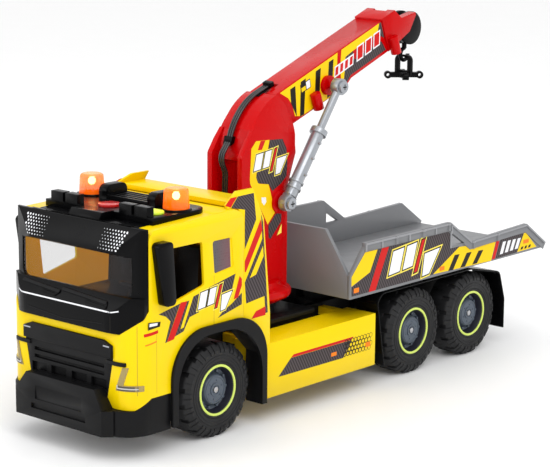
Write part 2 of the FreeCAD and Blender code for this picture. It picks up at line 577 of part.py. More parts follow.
cab_side = slab("cab_side", "yz", "-body_half", "body_half", [
    ("-cab_front", "corner_foot"), ("-corner_dip", "corner_foot"), ("-corner_rise", "side_foot"),
    ("-side_front_foot", "side_foot"),
    ("-arch_front", "arch_rise", "arch_round"), ("-arch_shoulder_front", "arch_top", "arch_round"),
    ("cab_rear", "arch_top"), ("cab_rear", "cab_top", "roof_round"),
    ("-mask_seat", "cab_top_front", "roof_round"), ("-mask_seat", "waist_side"),
    ("-cab_front", "waist_front")])
cab_front_view = slab("cab_front_view", "xz", "-front_reach", "cab_rear", [
    ("-body_half", "0"), ("body_half", "0"), ("body_half", "cab_top", "roof_round"),
    ("-body_half", "cab_top", "roof_round")])
cab_outside = common("cab_outside", cab_side, cab_front_view,
                     cab_plan("cab_plan", "cab_front", "body_half", "cab_rear", "cab_corner", "0", "cab_top"))
cab_space = common(
    "cab_space",
    slab("cab_space_side", "yz", "-body_half + cab_wall", "body_half - cab_wall", [
        ("-cab_front + cab_wall", "0"), ("cab_rear - cab_wall", "0"),
        ("cab_rear - cab_wall", "cab_top - cab_wall", "roof_round - cab_wall"),
        ("-mask_seat - cab_wall", "cab_top_front - cab_wall"),
        ("-mask_seat - cab_wall", "waist_side - cab_wall"),
        ("-cab_front + cab_wall", "waist_front - cab_wall")]),
    cab_plan("cab_space_plan", "cab_front - cab_wall", "body_half - cab_wall", "cab_rear - cab_wall",
             "cab_corner - cab_wall", "0", "cab_top - cab_wall"))
side_window = slab("side_window", "yz", "-body_half * 2", "body_half * 2", [
    ("-window_front + cab_wall * 2", "sill_front", "cab_wall"), ("-window_rear", "sill_rear", "cab_wall"),
    ("-window_rear - cab_wall", "window_top", "cab_wall"), ("-window_front", "window_top", "cab_wall")])
side_pane = slab("side_pane", "yz", "body_half - pane_depth", "body_half * 2", [
    ("-pane_front + cab_wall", "pane_bottom", "cab_wall"),
    ("pane_rear + cab_wall", "pane_bottom + cab_wall", "cab_wall"),
    ("pane_rear", "pane_top", "cab_wall"), ("-pane_front", "pane_top", "cab_wall")])
BAR_ENDS = [("grille_half", "grille_bar_foot"), ("grille_half", "grille_top - grille_chamfer"),
            ("grille_half - grille_chamfer_run", "grille_top"),
            ("-grille_half + grille_chamfer_run", "grille_top"),
            ("-grille_half", "grille_top - grille_chamfer"), ("-grille_half", "grille_bar_foot")]
grille_opening = slab("grille_opening", "xz", "-front_reach", "-cab_front + cab_wall * 2", [
    ("-grille_foot_half", "0"), ("grille_foot_half", "0"), ("grille_foot_half", "grille_bottom"),
    *BAR_ENDS, ("-grille_foot_half", "grille_bottom")])
node("cab_shell", cut("cab", cab_outside, cab_space, side_window, side_pane, mirrored(side_pane),
                      grille_opening))
node("cab_floor", common(
    "cab_floor_plate",
    cab_plan("floor_plan", "cab_front - cab_wall - grille_depth", "body_half - cab_wall",
             "cab_rear - cab_wall", "cab_corner - cab_wall", "arch_top", "arch_top + floor_thick")))

# Black mask: hood, pillars and visor in one moulding, with the windscreen opening


def bowed_plan(name, front, flat_half, corner_front, inset, low, high):
    """A plan with a flat middle and sloping corners, each side moved in by the inset."""
    half = f"mask_half - {inset}"
    return slab(name, "xy", low, high, [
        (f"-({half})", "-cab_rear"), (f"-({half})", f"-{corner_front} + {inset}", "mask_edge_round"),
        (f"-{flat_half}", f"-{front} + {inset}", "mask_round"),
        (flat_half, f"-{front} + {inset}", "mask_round"),
        (half, f"-{corner_front} + {inset}", "mask_edge_round"), (half, "-cab_rear")])


def mask_top(name, inset):
    """The upper part of the mask, from the sill to the visor's crown, moved in by the inset."""
    side = slab(name + "_side", "yz", "-mask_half", "mask_half", [
        ("-mask_seat", "waist_side"), (f"-screen_face + {inset}", "waist_side"),
        (f"-screen_face + {inset}", "screen_bottom"), (f"-screen_face + screen_lean + {inset}", "screen_top"),
        (f"-visor_front + {inset}", "screen_top + screen_lean"),
        (f"-visor_crown_reach + {inset}", f"visor_top - {inset}"),
        ("-cab_rear", f"visor_top - {inset}"), ("-cab_rear", "waist_side")])
    plan = bowed_plan(name + "_plan", "visor_front", "top_flat_half", "top_corner_front", inset, "0",
                      "visor_top")
    return common(name, side, plan)


hood_side = slab("hood_side", "yz", "-mask_half", "mask_half", [
    ("-mask_seat", "waist_side"), ("-cab_front", "waist_front"), ("-mask_front", "mask_chin"),
    ("-mask_front", "mask_line"), ("-screen_face", "screen_bottom"), ("-mask_seat", "screen_bottom")])
hood_plan = bowed_plan("hood_plan", "mask_front", "hood_flat_half", "hood_corner_front", "0", "0",
                       "visor_top")
mask_front_space = block("mask_front_space", ("-mask_half", "mask_half"), ("-front_reach", "-mask_seat"),
                         ("0", "visor_top"))
screen_opening = slab("screen_opening", "xz", "-front_reach", "-mask_seat", [
    ("-screen_half", "screen_bottom", "screen_corner"), ("screen_half", "screen_bottom", "screen_corner"),
    ("screen_half", "screen_top"), ("-screen_half", "screen_top")])
mask_whole = fuse("mask_whole", common("hood_moulding", hood_side, hood_plan),
                  common("mask_upper", mask_top("mask_top", "0"), mask_front_space))
mask_space = common("mask_hollow", mask_top("mask_space", "mask_wall"), block(
    "mask_space_block", ("-mask_half", "mask_half"), ("-front_reach", "0"),
    ("waist_side + mask_wall", "visor_top")))
node("front_mask", cut("mask", mask_whole, mask_space, screen_opening))
screen_outside = common("screen_outside", mask_top("screen_out", "screen_set"), screen_opening)
node("windscreen", cut("screen", screen_outside, mask_top("screen_in", "(screen_set + screen_thick)")))

# Grille panel with its top bar, slots and vents, and a fin on each side round the cab's corner
grille_panel = slab("grille_panel", "xz", "-cab_front", "-cab_front + grille_depth", [
    ("-grille_foot_half", "grille_bottom"), ("grille_foot_half", "grille_bottom"), *BAR_ENDS])
grille_bar = slab("grille_bar", "xz", "-cab_front - grille_proud", "-cab_front", BAR_ENDS)
RECESS_SPAN = ("-cab_front", "-cab_front + grille_depth / 2")
SLOT_DROPS = ("slot_high_drop", "slot_low_drop")
recesses = [block(f"grille_{drop}", ("-slot_half", "slot_half"), RECESS_SPAN,
                  (f"grille_bar_foot - {drop}", f"grille_bar_foot - {drop} + grille_slot"))
            for drop in SLOT_DROPS]
for n in range(2):
    vent_x = f"vent_start + vent_pitch * {n}"
    vent = block(f"vent_{n}", (vent_x, f"{vent_x} + vent_half * 2"), RECESS_SPAN, ("vent_bottom", "vent_top"))
    recesses += [vent, mirrored(vent)]
fin_ring = cut("fin_ring",
               cab_plan("fin_outside_plan", "cab_front + fin_proud", "body_half + fin_proud", "0",
                        "cab_corner + fin_proud", "fin_bottom", "fin_top"),
               cab_plan("fin_inside_plan", "cab_front", "body_half", "0", "cab_corner", "0", "cab_top"))
fin = common("fin", fin_ring, block("fin_span", ("fin_inside", "fin_outside"), ("-front_reach", "-mask_seat"),
                                    ("0", "cab_top")))
grille_body = cut("grille_cut", fuse("grille_body", grille_panel, grille_bar), *recesses)
node("grille", fuse("grille_whole", grille_body, fin, mirrored(fin)))

# Bumper: a shell round the cab's foot, lower at its corners, with a raised plate in the middle


def bumper_outline(inset):
    half, front = f"(bumper_side - {inset})", f"(front_reach - {inset})"
    step = f"(front_reach - bumper_step - {inset})"
    return [(f"-{half}", "-bumper_rear"), (f"-{half}", f"-{step}", f"bumper_corner - {inset}"),
            ("-bumper_flat_half - bumper_step", f"-{step}"), ("-bumper_flat_half", f"-{front}"),
            ("bumper_flat_half", f"-{front}"), ("bumper_flat_half + bumper_step", f"-{step}"),
            (half, f"-{step}", f"bumper_corner - {inset}"), (half, "-bumper_rear")]


def under_cab(name, bottom, drop):
    """What lies below the line of the cab's foot, lowered by the drop."""
    return slab(name, "yz", "-body_half", "body_half", [
        ("-front_reach", bottom), ("-front_reach", f"corner_foot - {drop}"),
        ("-corner_dip", f"corner_foot - {drop}"), ("-corner_rise", f"side_foot - {drop}"),
        ("-bumper_rear", f"side_foot - {drop}"), ("-bumper_rear", bottom)])


bumper_outside = slab("bumper_outside", "xy", "bumper_bottom", "side_foot", bumper_outline("0"))
bumper_hollow = slab("bumper_hollow", "xy", "0", "side_foot", bumper_outline("bumper_wall"))
bumper_space = common("bumper_space", bumper_hollow,
                      under_cab("bumper_space_line", "0", "(foot_seam + bumper_wall)"))
bumper = cut("bumper_shell", common("bumper_body", bumper_outside,
                                    under_cab("bumper_line", "0", "foot_seam")), bumper_space)
bumper_plate = common(
    "bumper_plate",
    slab("plate_face", "xz", "-front_reach", "-cab_front", [
        ("-bumper_flat_half", "corner_foot - bumper_wall"), ("bumper_flat_half", "corner_foot - bumper_wall"),
        ("bumper_flat_half", "corner_foot"), ("plate_top_half", "plate_rise"),
        ("-plate_top_half", "plate_rise"),
        ("-bumper_flat_half", "corner_foot")]),
    slab("plate_side", "yz", "-body_half", "body_half", [
        ("-front_reach", "0"), ("-front_reach", "corner_foot"), ("-front_reach + plate_slope", "plate_rise"),
        ("-cab_front", "plate_rise"), ("-cab_front", "0")]))
sign = block("sign_recess", ("-sign_half", "sign_half"), ("-front_reach", "-front_reach + sign_depth"),
             ("sign_bottom", "sign_top"))
mouth = block("bumper_mouth", ("-mouth_half", "mouth_half"), ("-front_reach", "-front_reach + mouth_depth"),
              ("mouth_bottom", "mouth_top"))
node("front_bumper", cut("bumper_cut", fuse("bumper_with_plate", bumper, bumper_plate), sign, mouth))

# Wheel arch lips of the front wheels, each with a flap behind
ARCH_LINE = ARCH + [("arch_rear", "flap_drop")]
arch_strip = slab("arch_strip", "yz", "body_half - arch_depth", "body_half + arch_proud",
                  ARCH_LINE + inward(ARCH_LINE, "arch_lip"))
node("wheel_arches", pair("arches", arch_strip))

# Headlamps: L-shaped lenses standing a little proud of the cab's corners
lamp_skin = cut("lamp_skin",
                cab_plan("lamp_skin_outside", "cab_front + lamp_proud", "body_half + lamp_proud", "0",
                         "cab_corner + lamp_proud", "lamp_bottom", "lamp_top"),
                cab_plan("lamp_skin_inside", "cab_front", "body_half", "0", "cab_corner", "0", "cab_top"))
lamp_shape = slab("lamp_shape", "xz", "-front_reach", "-mask_seat", [
    ("lamp_inside", "lamp_bottom"), ("lamp_outside", "lamp_bottom"),
    ("lamp_outside", "lamp_bottom + lamp_stroke"),
    ("lamp_inside + lamp_stroke * lamp_foot_share", "lamp_bottom + lamp_stroke"),
    ("lamp_inside + lamp_stroke * lamp_outer_share", "lamp_top"),
    ("lamp_inside + lamp_stroke * lamp_inner_share", "lamp_top")])
node("headlamps", pair("lamps", common("lamp", lamp_skin, lamp_shape)))

# Mirrors folded against the pillars
mirror = slab("mirror", "yz", "body_half", "body_half + mirror_depth", [
    ("-mirror_front + mirror_depth", "mirror_bottom", "mirror_round"),
    ("-mirror_rear", "mirror_bottom", "mirror_round"),
    ("-mirror_rear - mirror_depth / 2", "mirror_top", "mirror_round"),
    ("-mirror_front", "mirror_top", "mirror_round")])
node("mirrors", pair("mirror_pair", mirror))

# Inside the cab: dashboard with steering wheel, and two seats
FLOOR_TOP = "arch_top + floor_thick"
dash = slab("dash", "yz", "-body_half + cab_wall * 2", "body_half - cab_wall * 2", [
    ("-mask_seat", FLOOR_TOP), ("-mask_seat + dash_depth", FLOOR_TOP),
    ("-mask_seat + dash_depth", f"{FLOOR_TOP} + dash_height * dash_brow_share"),
    ("-mask_seat", f"{FLOOR_TOP} + dash_height * dash_front_share")])
node("dashboard", placed("dash_placed", dash))
steering_rim = doc.addObject("Part::Torus", "steering_rim")
bind(steering_rim, "Radius1", "wheel_rim_radius")
bind(steering_rim, "Radius2", "wheel_rim_thick")
steering_post = rod("steering_post", "z", "wheel_rim_thick * post_share", "-dash_height", "wheel_rim_thick")
spoke = block("steering_spoke", ("-wheel_rim_radius", "wheel_rim_radius"),
              ("-wheel_rim_thick", "wheel_rim_thick"), ("-wheel_rim_thick", "wheel_rim_thick / 2"))
STEERING_Z = f"{FLOOR_TOP} + dash_height + wheel_rim_radius / 3"
steering = placed("steering_placed", fuse("steering", steering_rim, steering_post, spoke), "seat_x",
                  "-mask_seat + dash_depth", STEERING_Z, "-steering_lean")
node("steering_wheel", cut("steering_seated", steering, dash))
seat = slab("seat", "yz", "seat_x - seat_half", "seat_x + seat_half", [
    ("-seat_front", FLOOR_TOP), ("seat_rear", FLOOR_TOP),
    ("seat_rear", f"{FLOOR_TOP} + seat_back", "seat_round"),
    ("seat_rear - seat_back_thick", f"{FLOOR_TOP} + seat_back", "seat_round"),
    ("seat_rear - seat_back_thick * seat_taper_share", f"{FLOOR_TOP} + seat_base"),
    ("-seat_front", f"{FLOOR_TOP} + seat_base", "seat_round")])
node("seats", pair("seat_pair", seat))

# Roof rack with the beacons, button, dome, front lamps and slats
RACK_FOOT = "cab_top_front - cab_wall"
RACK_TOP = "cab_top + rack_thick"
rack_plate = slab("rack_plate", "xy", RACK_FOOT, RACK_TOP, [
    ("-rack_half", "-rack_rear", "rack_round"), ("-rack_half", "-rack_front"), ("rack_half", "-rack_front"),
    ("rack_half", "-rack_rear", "rack_round")])
lamp_boxes = []
for side, sign in (("left", 1), ("right", -1)):
    for n in range(2):
        inner = f"lamp_box_inner + (lamp_box_width + lamp_box_gap) * {n}"
        spans = (inner, f"{inner} + lamp_box_width")
        if sign < 0:
            spans = (f"-({spans[1]})", f"-({spans[0]})")
        lamp_boxes.append(block(f"roof_lamp_{side}_{n}", spans,
                                ("-rack_front", "-rack_front + lamp_box_depth"),
                                (RACK_FOOT, f"{RACK_TOP} + lamp_box_height")))
hood = slab("hood", "yz", "-hood_half", "hood_half", [
    ("-hood_front", RACK_FOOT), ("-hood_front", "cab_top - hood_height"),
    ("-hood_front + hood_slope", "cab_top + hood_height"),
    ("-hood_front + hood_depth", "cab_top + hood_height"),
    ("-hood_front + hood_depth", RACK_FOOT)])
bracket = slab("bracket", "yz", "bracket_x - bracket_width / 2", "bracket_x + bracket_width / 2", [
    ("-bracket_front", RACK_TOP), ("-bracket_rear", RACK_TOP),
    ("-bracket_rear", f"{RACK_TOP} + bracket_height", "bracket_height / 2"),
    ("-bracket_front", f"{RACK_TOP} + bracket_height", "bracket_height / 2")])
SLATS = 5
slats = [block(f"slat_{n}", ("-bracket_x + bracket_width / 2", "bracket_x - bracket_width / 2"),
               (f"-bracket_rear - slat_pitch * {n} - slat_thick", f"-bracket_rear - slat_pitch * {n}"),
               (RACK_TOP, f"{RACK_TOP} + slat_height")) for n in range(SLATS)]
feet = [rod(f"beacon_foot_{side}", "z", "beacon_foot_radius", RACK_TOP, f"{RACK_TOP} + beacon_foot",
            (f"{sign}beacon_x", "-beacon_y")) for side, sign in (("left", ""), ("right", "-"))]
rack = fuse("rack", rack_plate, *lamp_boxes, hood, bracket, mirrored(bracket), *slats, *feet)
node("roof_rack", cut("rack_seated", rack, cab_outside))
BEACON_FOOT_TOP = f"{RACK_TOP} + beacon_foot"
beacon = turned("beacon", "xz", "V_Axis", [
    ("0", "0"), ("beacon_radius", "0"), ("beacon_radius - beacon_round / 3", "beacon_height", "beacon_round"),
    ("0", "beacon_height")])
beacon_set = placed("beacon_placed", beacon, "beacon_x", "-beacon_y", BEACON_FOOT_TOP)
node("beacons", pair("beacon_pair", beacon_set))
node("sound_button", rod("button", "z", "button_radius", RACK_TOP, f"{RACK_TOP} + button_height",
                         ("-button_x", "-button_y")))
node("roof_dome", turned("dome", "xz", "V_Axis", [
    ("0", "0"), ("dome_radius", "0"), ("dome_radius", "dome_height / 2", "dome_height / 3"),
    ("0", "dome_height")]), "dome_x", "-dome_y", RACK_TOP)

# Fairing behind the cab: side panels that lean in at the top, where each ends in a small wing


def fairing_hull(name, inset):
    """The fairing's outline from the front, moved in by the inset."""
    return slab(name, "xz", "wing_front", "fairing_rear_foot", [
        (f"-body_half + {inset}", "0"), (f"body_half - {inset}", "0"), (f"body_half - {inset}", "lean_start"),
        (f"wing_half - {inset}", "fairing_crown"), (f"-wing_half + {inset}", "fairing_crown"),
        (f"-body_half + {inset}", "lean_start")])


FAIRING_FRONT = "cab_rear + fairing_seam"
fairing_side = slab("fairing_side", "yz", "-body_half", "body_half", [
    (FAIRING_FRONT, "arch_top - fairing_wall * 2"), ("arch_rear", "arch_rise + fairing_seam * 2"),
    ("arch_rear", "skirt_top"), ("fairing_rear_foot", "skirt_top"), ("fairing_rear_foot", "arch_top"),
    ("fairing_rear_waist", "lean_start"), ("fairing_rear_top", "fairing_crown"),
    ("wing_middle", "fairing_crown", "fairing_wall"), ("wing_front", "cab_top + wing_toe"),
    ("wing_front", "cab_top"), (FAIRING_FRONT, "cab_top")])
fairing_block = common("fairing_block", fairing_side, fairing_hull("fairing_outside", "0"))
fairing_panels = cut("fairing_panels", fairing_block, fairing_hull("fairing_inside", "fairing_wall"))
fairing_back = block("fairing_back", ("-body_half", "body_half"),
                     (FAIRING_FRONT, f"{FAIRING_FRONT} + fairing_wall"), ("arch_top", "cab_top"))
fairing_shelf = block("fairing_shelf", ("-body_half", "body_half"),
                      ("cab_rear - cab_wall * 2", "fairing_rear_waist"),
                      ("cab_top", "cab_top + deck_spoiler"))
node("roof_fairing", fuse("fairing", fairing_panels,
                          common("fairing_bridge", fuse("fairing_plates", fairing_back, fairing_shelf),
                                 fairing_hull("fairing_bridge_hull", "0"))))

# Crane column on its round flange, drawn from the slewing axis, with a cowl over the boom's root
SHOULDER = "pivot_height - shoulder_drop"
column = slab("column_side", "yz", "-column_half", "column_half", [
    ("-column_front", FLANGE_FOOT), ("-column_front", "pivot_height - face_drop", "column_round"),
    ("-column_front + shoulder_set", SHOULDER), ("bulge_reach - column_round", SHOULDER),
    ("bulge_reach - column_round / 3", "pivot_height - bulge_top_drop", "column_round"),
    ("bulge_reach", "pivot_height - bulge_high_drop", "column_round"),
    ("bulge_reach - column_round", "pivot_height - bulge_low_drop", "column_round"),
    ("column_rear", "pivot_height - bulge_foot_drop", "column_round"), ("column_rear", FLANGE_FOOT)])
cowl = slab("cowl", "yz", "-column_half", "column_half", [
    ("-cowl_front", "pivot_height - cowl_foot_drop"),
    ("-cowl_front", "pivot_height + cowl_front_rise", "cowl_front_round"),
    ("cowl_tip_reach", "pivot_height + cowl_tip_rise"),
    ("cowl_rear", "pivot_height + cowl_rear_rise", "cowl_rear_round"),
    ("cowl_rear", "pivot_height - cowl_foot_drop")])
crane_front_view = slab("crane_front_view", "xz", "-column_front", "column_rear * 2", [
    ("-column_half", "0"), ("column_half", "0"), ("column_half", "pivot_height - neck_foot_drop"),
    ("neck_half", "pivot_height + neck_rise"), ("neck_half", "pivot_height * 2"),
    ("-neck_half", "pivot_height * 2"), ("-neck_half", "pivot_height + neck_rise"),
    ("-column_half", "pivot_height - neck_foot_drop")])
flange = turned("flange", "xz", "V_Axis", [
    ("0", "0"), ("flange_foot_radius", "0"), ("flange_radius", "flange_foot_rise", "flange_round"),
    ("flange_radius", "flange_height", "flange_round"),
    ("flange_neck_radius", "flange_height + flange_round", "flange_round"),
    ("flange_neck_radius", "flange_neck_rise"), ("0", "flange_neck_rise")])
flange_set = placed("flange_placed", flange, z=FLANGE_FOOT)
foot_boss = rod("foot_boss", "x", "foot_boss_radius", "column_half", "column_half + foot_boss_height",
                ("foot_reach", "foot_height"))
foot_pin = rod("foot_pin", "x", "eye_pin_radius", "column_half", "cylinder_x + eye_half + eye_gap",
               ("foot_reach", "foot_height"))
foot_head = rod("foot_pin_head", "x", "eye_pin_radius + pin_head", "cylinder_x + eye_half + eye_gap",
                "cylinder_x + eye_half + eye_gap + pin_head", ("foot_reach", "foot_height"))
channel = block("channel", ("-channel_half", "channel_half"),
                ("-column_front * 2", "-column_front + channel_depth"), ("channel_foot", "pivot_height"))
boom_bay = slab("boom_bay", "yz", "-boom_half - bay_gap", "boom_half + bay_gap", [
    ("bay_front", "pivot_height - bay_floor_drop"), ("column_rear * 2", "pivot_height - bay_floor_drop"),
    ("column_rear * 2", "pivot_height * 2"), ("cowl_tip_reach", "pivot_height * 2"),
    ("cowl_tip_reach", "pivot_height + cowl_tip_rise"),
    ("cowl_tip_reach - cowl_roof / 2", "pivot_height + cowl_tip_rise - cowl_roof"),
    ("bay_front", "pivot_height + bay_front_rise")])
pivot_bore = rod("pivot_bore", "x", "pivot_pin_radius", "-pivot_pin_half", "pivot_pin_half",
                 ("pivot_reach", "pivot_height"))
spigot_bore = rod("spigot_bore", "z", "spigot_radius + pin_gap", "0", f"{FLANGE_FOOT} + spigot_height")
upright_solid = fuse("upright_solid", cut("column_channelled", column, channel), cowl)
upright = cut("upright", common("upright_outside", upright_solid, crane_front_view), boom_bay)
solid_column = fuse("column_solid", upright, flange_set, foot_boss, mirrored(foot_boss),
                    foot_pin, mirrored(foot_pin), foot_head, mirrored(foot_head))
node("crane_column", cut("column", solid_column, pivot_bore, spigot_bore), y="slew_reach")
node("boom_pivot_pin", rod("pivot_pin", "x", "pivot_pin_radius", "-pivot_pin_half", "pivot_pin_half",
     ("pivot_reach", "pivot_height")), y="slew_reach")

# Boom: a box open at its end, its root between the cowl's cheeks
boom_side = slab("boom_side", "yz", "-boom_half", "boom_half", [
    ("boom_start", "boom_top"), ("boom_end", "boom_top"), ("boom_end", "-boom_high"),
    ("boom_step + boom_step_run", "-boom_high"), ("boom_step", "-boom_low"),
    ("boom_start", "-boom_root_radius"),
    ("-boom_root_radius", "-boom_root_radius", "boom_root_radius - pin_gap"),
    ("-boom_root_radius", "boom_root_rise")])
boom_bore = block("boom_bore", ("-boom_half + boom_wall", "boom_half - boom_wall"),
                  ("boom_bore_start", "boom_end * 2"), ("-boom_high + boom_wall", "boom_top - boom_wall"))
root_bore = rod("root_bore", "x", "pivot_pin_radius + pin_gap", "-column_half", "column_half")
lift_boss = rod("lift_boss", "x", "lift_boss_radius", "boom_half", "boom_half + lift_boss_height",
                ("lift_reach", "lift_rise"))
lift_pin = rod("lift_pin", "x", "lift_pin_radius", "boom_half", "cylinder_x + eye_half + eye_gap",
               ("lift_reach", "lift_rise"))
lift_head = rod("lift_pin_head", "x", "eye_pin_radius + pin_head", "cylinder_x + eye_half + eye_gap",
                "cylinder_x + eye_half + eye_gap + pin_head", ("lift_reach", "lift_rise"))
peg = rod("peg", "z", "peg_radius", "-peg_foot", "peg_top", ("peg_offset", "peg_reach"))
NOTCH_SPAN = ("-root_notch_shift - root_notch_half", "-root_notch_shift + root_notch_half")
root_notch = block("root_notch", NOTCH_SPAN, ("-boom_root_radius", "root_notch"),
                   ("boom_top - root_notch_depth", "boom_top * 2"))
boom_parts = [boom_side]
for piece in (lift_boss, lift_pin, lift_head, peg):
    boom_parts += [piece, mirrored(piece)]
node("boom", cut("boom_bored", fuse("boom_solid", *boom_parts), boom_bore, root_bore, root_notch),
     y=PIVOT_Y, z="pivot_height", tilt="boom_rise")

# Boom extension: a beam inside the boom, with the collar and head plates outside it
BEAM_HALF = "boom_half - boom_wall - slide_gap"
beam = block("extension_beam", (f"-({BEAM_HALF})", BEAM_HALF), ("beam_start", "boom_end + collar_run / 2"),
             ("-boom_high + boom_wall + slide_gap", "boom_top - boom_wall - slide_gap"))
HEAD_START = "boom_end + slide_gap"
head_plate = slab("head_plate", "yz", "-head_plate_half", "head_plate_half", [
    (HEAD_START, "-boom_high"), ("boom_end + plate_tip_reach", "-plate_tip_low"),
    ("boom_end + horn_reach", "horn_rise - plate_tip_low"), ("boom_end + horn_reach", "horn_rise"),
    ("boom_end + notch_reach", "notch_rise"), ("boom_end + collar_run", "collar_rise"),
    (HEAD_START, "collar_rise")])
head_slot = block("head_slot", ("-tip_half", "tip_half"), ("tip_root", "tip_reach * 2"),
                  ("-tip_reach", "tip_reach"))
tip_peg = rod("tip_peg", "z", "peg_radius", "-tip_peg_foot", "tip_peg_top",
              ("peg_offset", "boom_end + tip_peg_set"))
extension_solid = fuse("extension_solid", beam, head_plate, tip_peg, mirrored(tip_peg))
node("boom_extension", cut("extension", extension_solid, head_slot),
     y=PIVOT_Y, z="pivot_height", tilt="boom_rise")

# Tip block: two cheeks between the head plates, carrying the hook's pin
tip_cheek = fuse("tip_cheek",
                 rod("tip_disc", "x", "tip_radius", "tip_half - tip_cheek", "tip_half",
                     ("tip_reach", "-tip_low")),
                 slab("tip_arm", "yz", "tip_half - tip_cheek", "tip_half", [
                     ("tip_root", "-tip_low + tip_cheek / 2"), ("tip_reach", "-tip_low - tip_radius / 2"),
                     ("tip_reach", "tip_radius / 2"), ("tip_root", "tip_radius / 2")]))
tip_back = block("tip_back", ("-tip_half", "tip_half"), ("tip_root", "tip_root + tip_cheek"),
                 ("-tip_low + tip_cheek / 2", "tip_radius / 2"))
tip_pin = rod("tip_pin", "x", "tip_pin_radius", "-tip_half", "tip_half", ("tip_reach", "-tip_low"))
node("tip_block", fuse("tip", tip_cheek, mirrored(tip_cheek), tip_back, tip_pin),
     y=PIVOT_Y, z="pivot_height", tilt="boom_rise")

# Lift cylinders: barrels on the column's pins, rods on the boom's pins
RING_SHARES = (0.2, 0.29)
STUD_SHARES = (0.42, 0.66, 0.88)
ON_CYLINDER = ("cylinder_x", "0")


def across_eye(name, radius, reach):
    return rod(name, "x", radius, "cylinder_x - eye_half", "cylinder_x + eye_half", (reach, "0"))


def along_cylinder(name, radius, low, high):
    return rod(name, "y", radius, low, high, ON_CYLINDER)


barrel_parts = [
    across_eye("barrel_eye", "eye_radius", "0"),
    block("barrel_root", ("cylinder_x - eye_half", "cylinder_x + eye_half"), ("0", "eye_radius"),
          ("-barrel_radius + eye_gap", "barrel_radius - eye_gap")),
    along_cylinder("barrel_tube", "barrel_radius", "eye_radius - eye_gap", "barrel_length"),
    along_cylinder("barrel_neck", "barrel_collar", "barrel_length", "barrel_length + barrel_collar_length")]
for n, share in enumerate(RING_SHARES):
    ring_y = f"barrel_length * {share}"
    barrel_parts.append(along_cylinder(f"barrel_ring_{n}", "barrel_ring", ring_y,
                                       f"{ring_y} + barrel_ring_length"))
for n, share in enumerate(STUD_SHARES):
    barrel_parts.append(rod(f"barrel_stud_{n}", "x", "barrel_stud_radius", "cylinder_x",
                            "cylinder_x + barrel_radius + barrel_stud_height",
                            (f"barrel_length * {share}", "0")))
barrel = cut("barrel", fuse("barrel_solid", *barrel_parts),
             across_eye("barrel_eye_bore", "eye_pin_radius + pin_gap", "0"),
             along_cylinder("barrel_inside", "barrel_bore", "eye_radius + eye_half", "barrel_length * 2"))
node("cylinder_barrels", pair("barrels", barrel), y=FOOT_Y, z="foot_height", tilt=CYLINDER_RISE)
piston = cut("piston", fuse("piston_solid", across_eye("rod_eye", "eye_radius", CYLINDER_LENGTH),
                            along_cylinder("piston_rod", "rod_radius", "rod_inside", CYLINDER_LENGTH)),
             across_eye("rod_eye_bore", "lift_pin_radius + rod_eye_play", CYLINDER_LENGTH))
node("cylinder_rods", pair("pistons", piston), y=FOOT_Y, z="foot_height", tilt=CYLINDER_RISE)

# Hook on the tip pin, and the four-armed spreader on its link, drawn from the tip pin
hook_eye = rod("hook_eye", "x", "hook_eye_radius", "-hook_half", "hook_half")
shank = rod("shank", "z", "shank_radius", "-hook_drop + hook_turn_radius", "0")
hook_ring = doc.addObject("Part::Torus", "hook_ring")
hook_ring.Placement.Rotation = FreeCAD.Rotation(Vector(0, 1, 0), 90)
bind(hook_ring, "Radius1", "hook_turn_radius")
bind(hook_ring, "Radius2", "hook_section")
bind(hook_ring, "Placement.Base.z", "-hook_drop")
hook_mouth = block("hook_mouth", ("-hook_turn_radius", "hook_turn_radius"), ("0", "hook_turn_radius * 2"),
                   ("-hook_drop", "-hook_drop + hook_turn_radius * 2"))
hook_bore = rod("hook_bore", "x", "tip_pin_radius + pin_gap", "-hook_half", "hook_half")
hook_curl = cut("hook_curl", hook_ring, hook_mouth)
node("hook", cut("hook_bored", fuse("hook_solid", hook_eye, shank, hook_curl), hook_bore), y=TIP_Y, z=TIP_Z)

arms = []
for n in range(4):
    arm = block(f"arm_{n}", ("0", "arm_reach"), ("-arm_half", "arm_half"),
                ("-arm_thick / 2", "arm_thick / 2"))
    eye = rod(f"arm_eye_{n}", "y", "arm_eye_radius", "-arm_half", "arm_half", ("arm_reach", "0"))
    hole = rod(f"arm_hole_{n}", "y", "arm_eye_bore", "-arm_thick", "arm_thick", ("arm_reach", "0"))
    whole = cut(f"arm_cut_{n}", fuse(f"arm_whole_{n}", arm, eye), hole)
    whole.Placement.Rotation = FreeCAD.Rotation(Vector(0, 0, 1), 45 + 90 * n)
    arms.append(whole)
hub = rod("spreader_hub", "z", "spreader_hub_radius", "-arm_thick / 2", "arm_thick / 2")
spreader = doc.addObject("Part::MultiFuse", "spreader_arms")
spreader.Shapes = arms + [hub]
bind(spreader, "Placement.Base.z", "-spreader_drop")
LINK_FOOT = "-spreader_drop + arm_thick / 2"
link_outer = slab("link_outer", "xz", "-link_section", "link_section", [
    ("-link_half - link_section * 2", "-spreader_drop"), ("link_half + link_section * 2", "-spreader_drop"),
    ("link_half + link_section * 2", f"{LINK_FOOT} + link_height", "link_half"),
    ("-link_half - link_section * 2", f"{LINK_FOOT} + link_height", "link_half")])
link_hole = slab("link_hole", "xz", "-link_section * 2", "link_section * 2", [
    ("-link_half", f"{LINK_FOOT} + link_section"), ("link_half", f"{LINK_FOOT} + link_section"),
    ("link_half", f"{LINK_FOOT} + link_height - link_section", "link_half / 2"),
    ("-link_half", f"{LINK_FOOT} + link_height - link_section", "link_half / 2")])
node("spreader", fuse("spreader_whole", spreader, cut("link", link_outer, link_hole)), y=TIP_Y, z=TIP_Z)

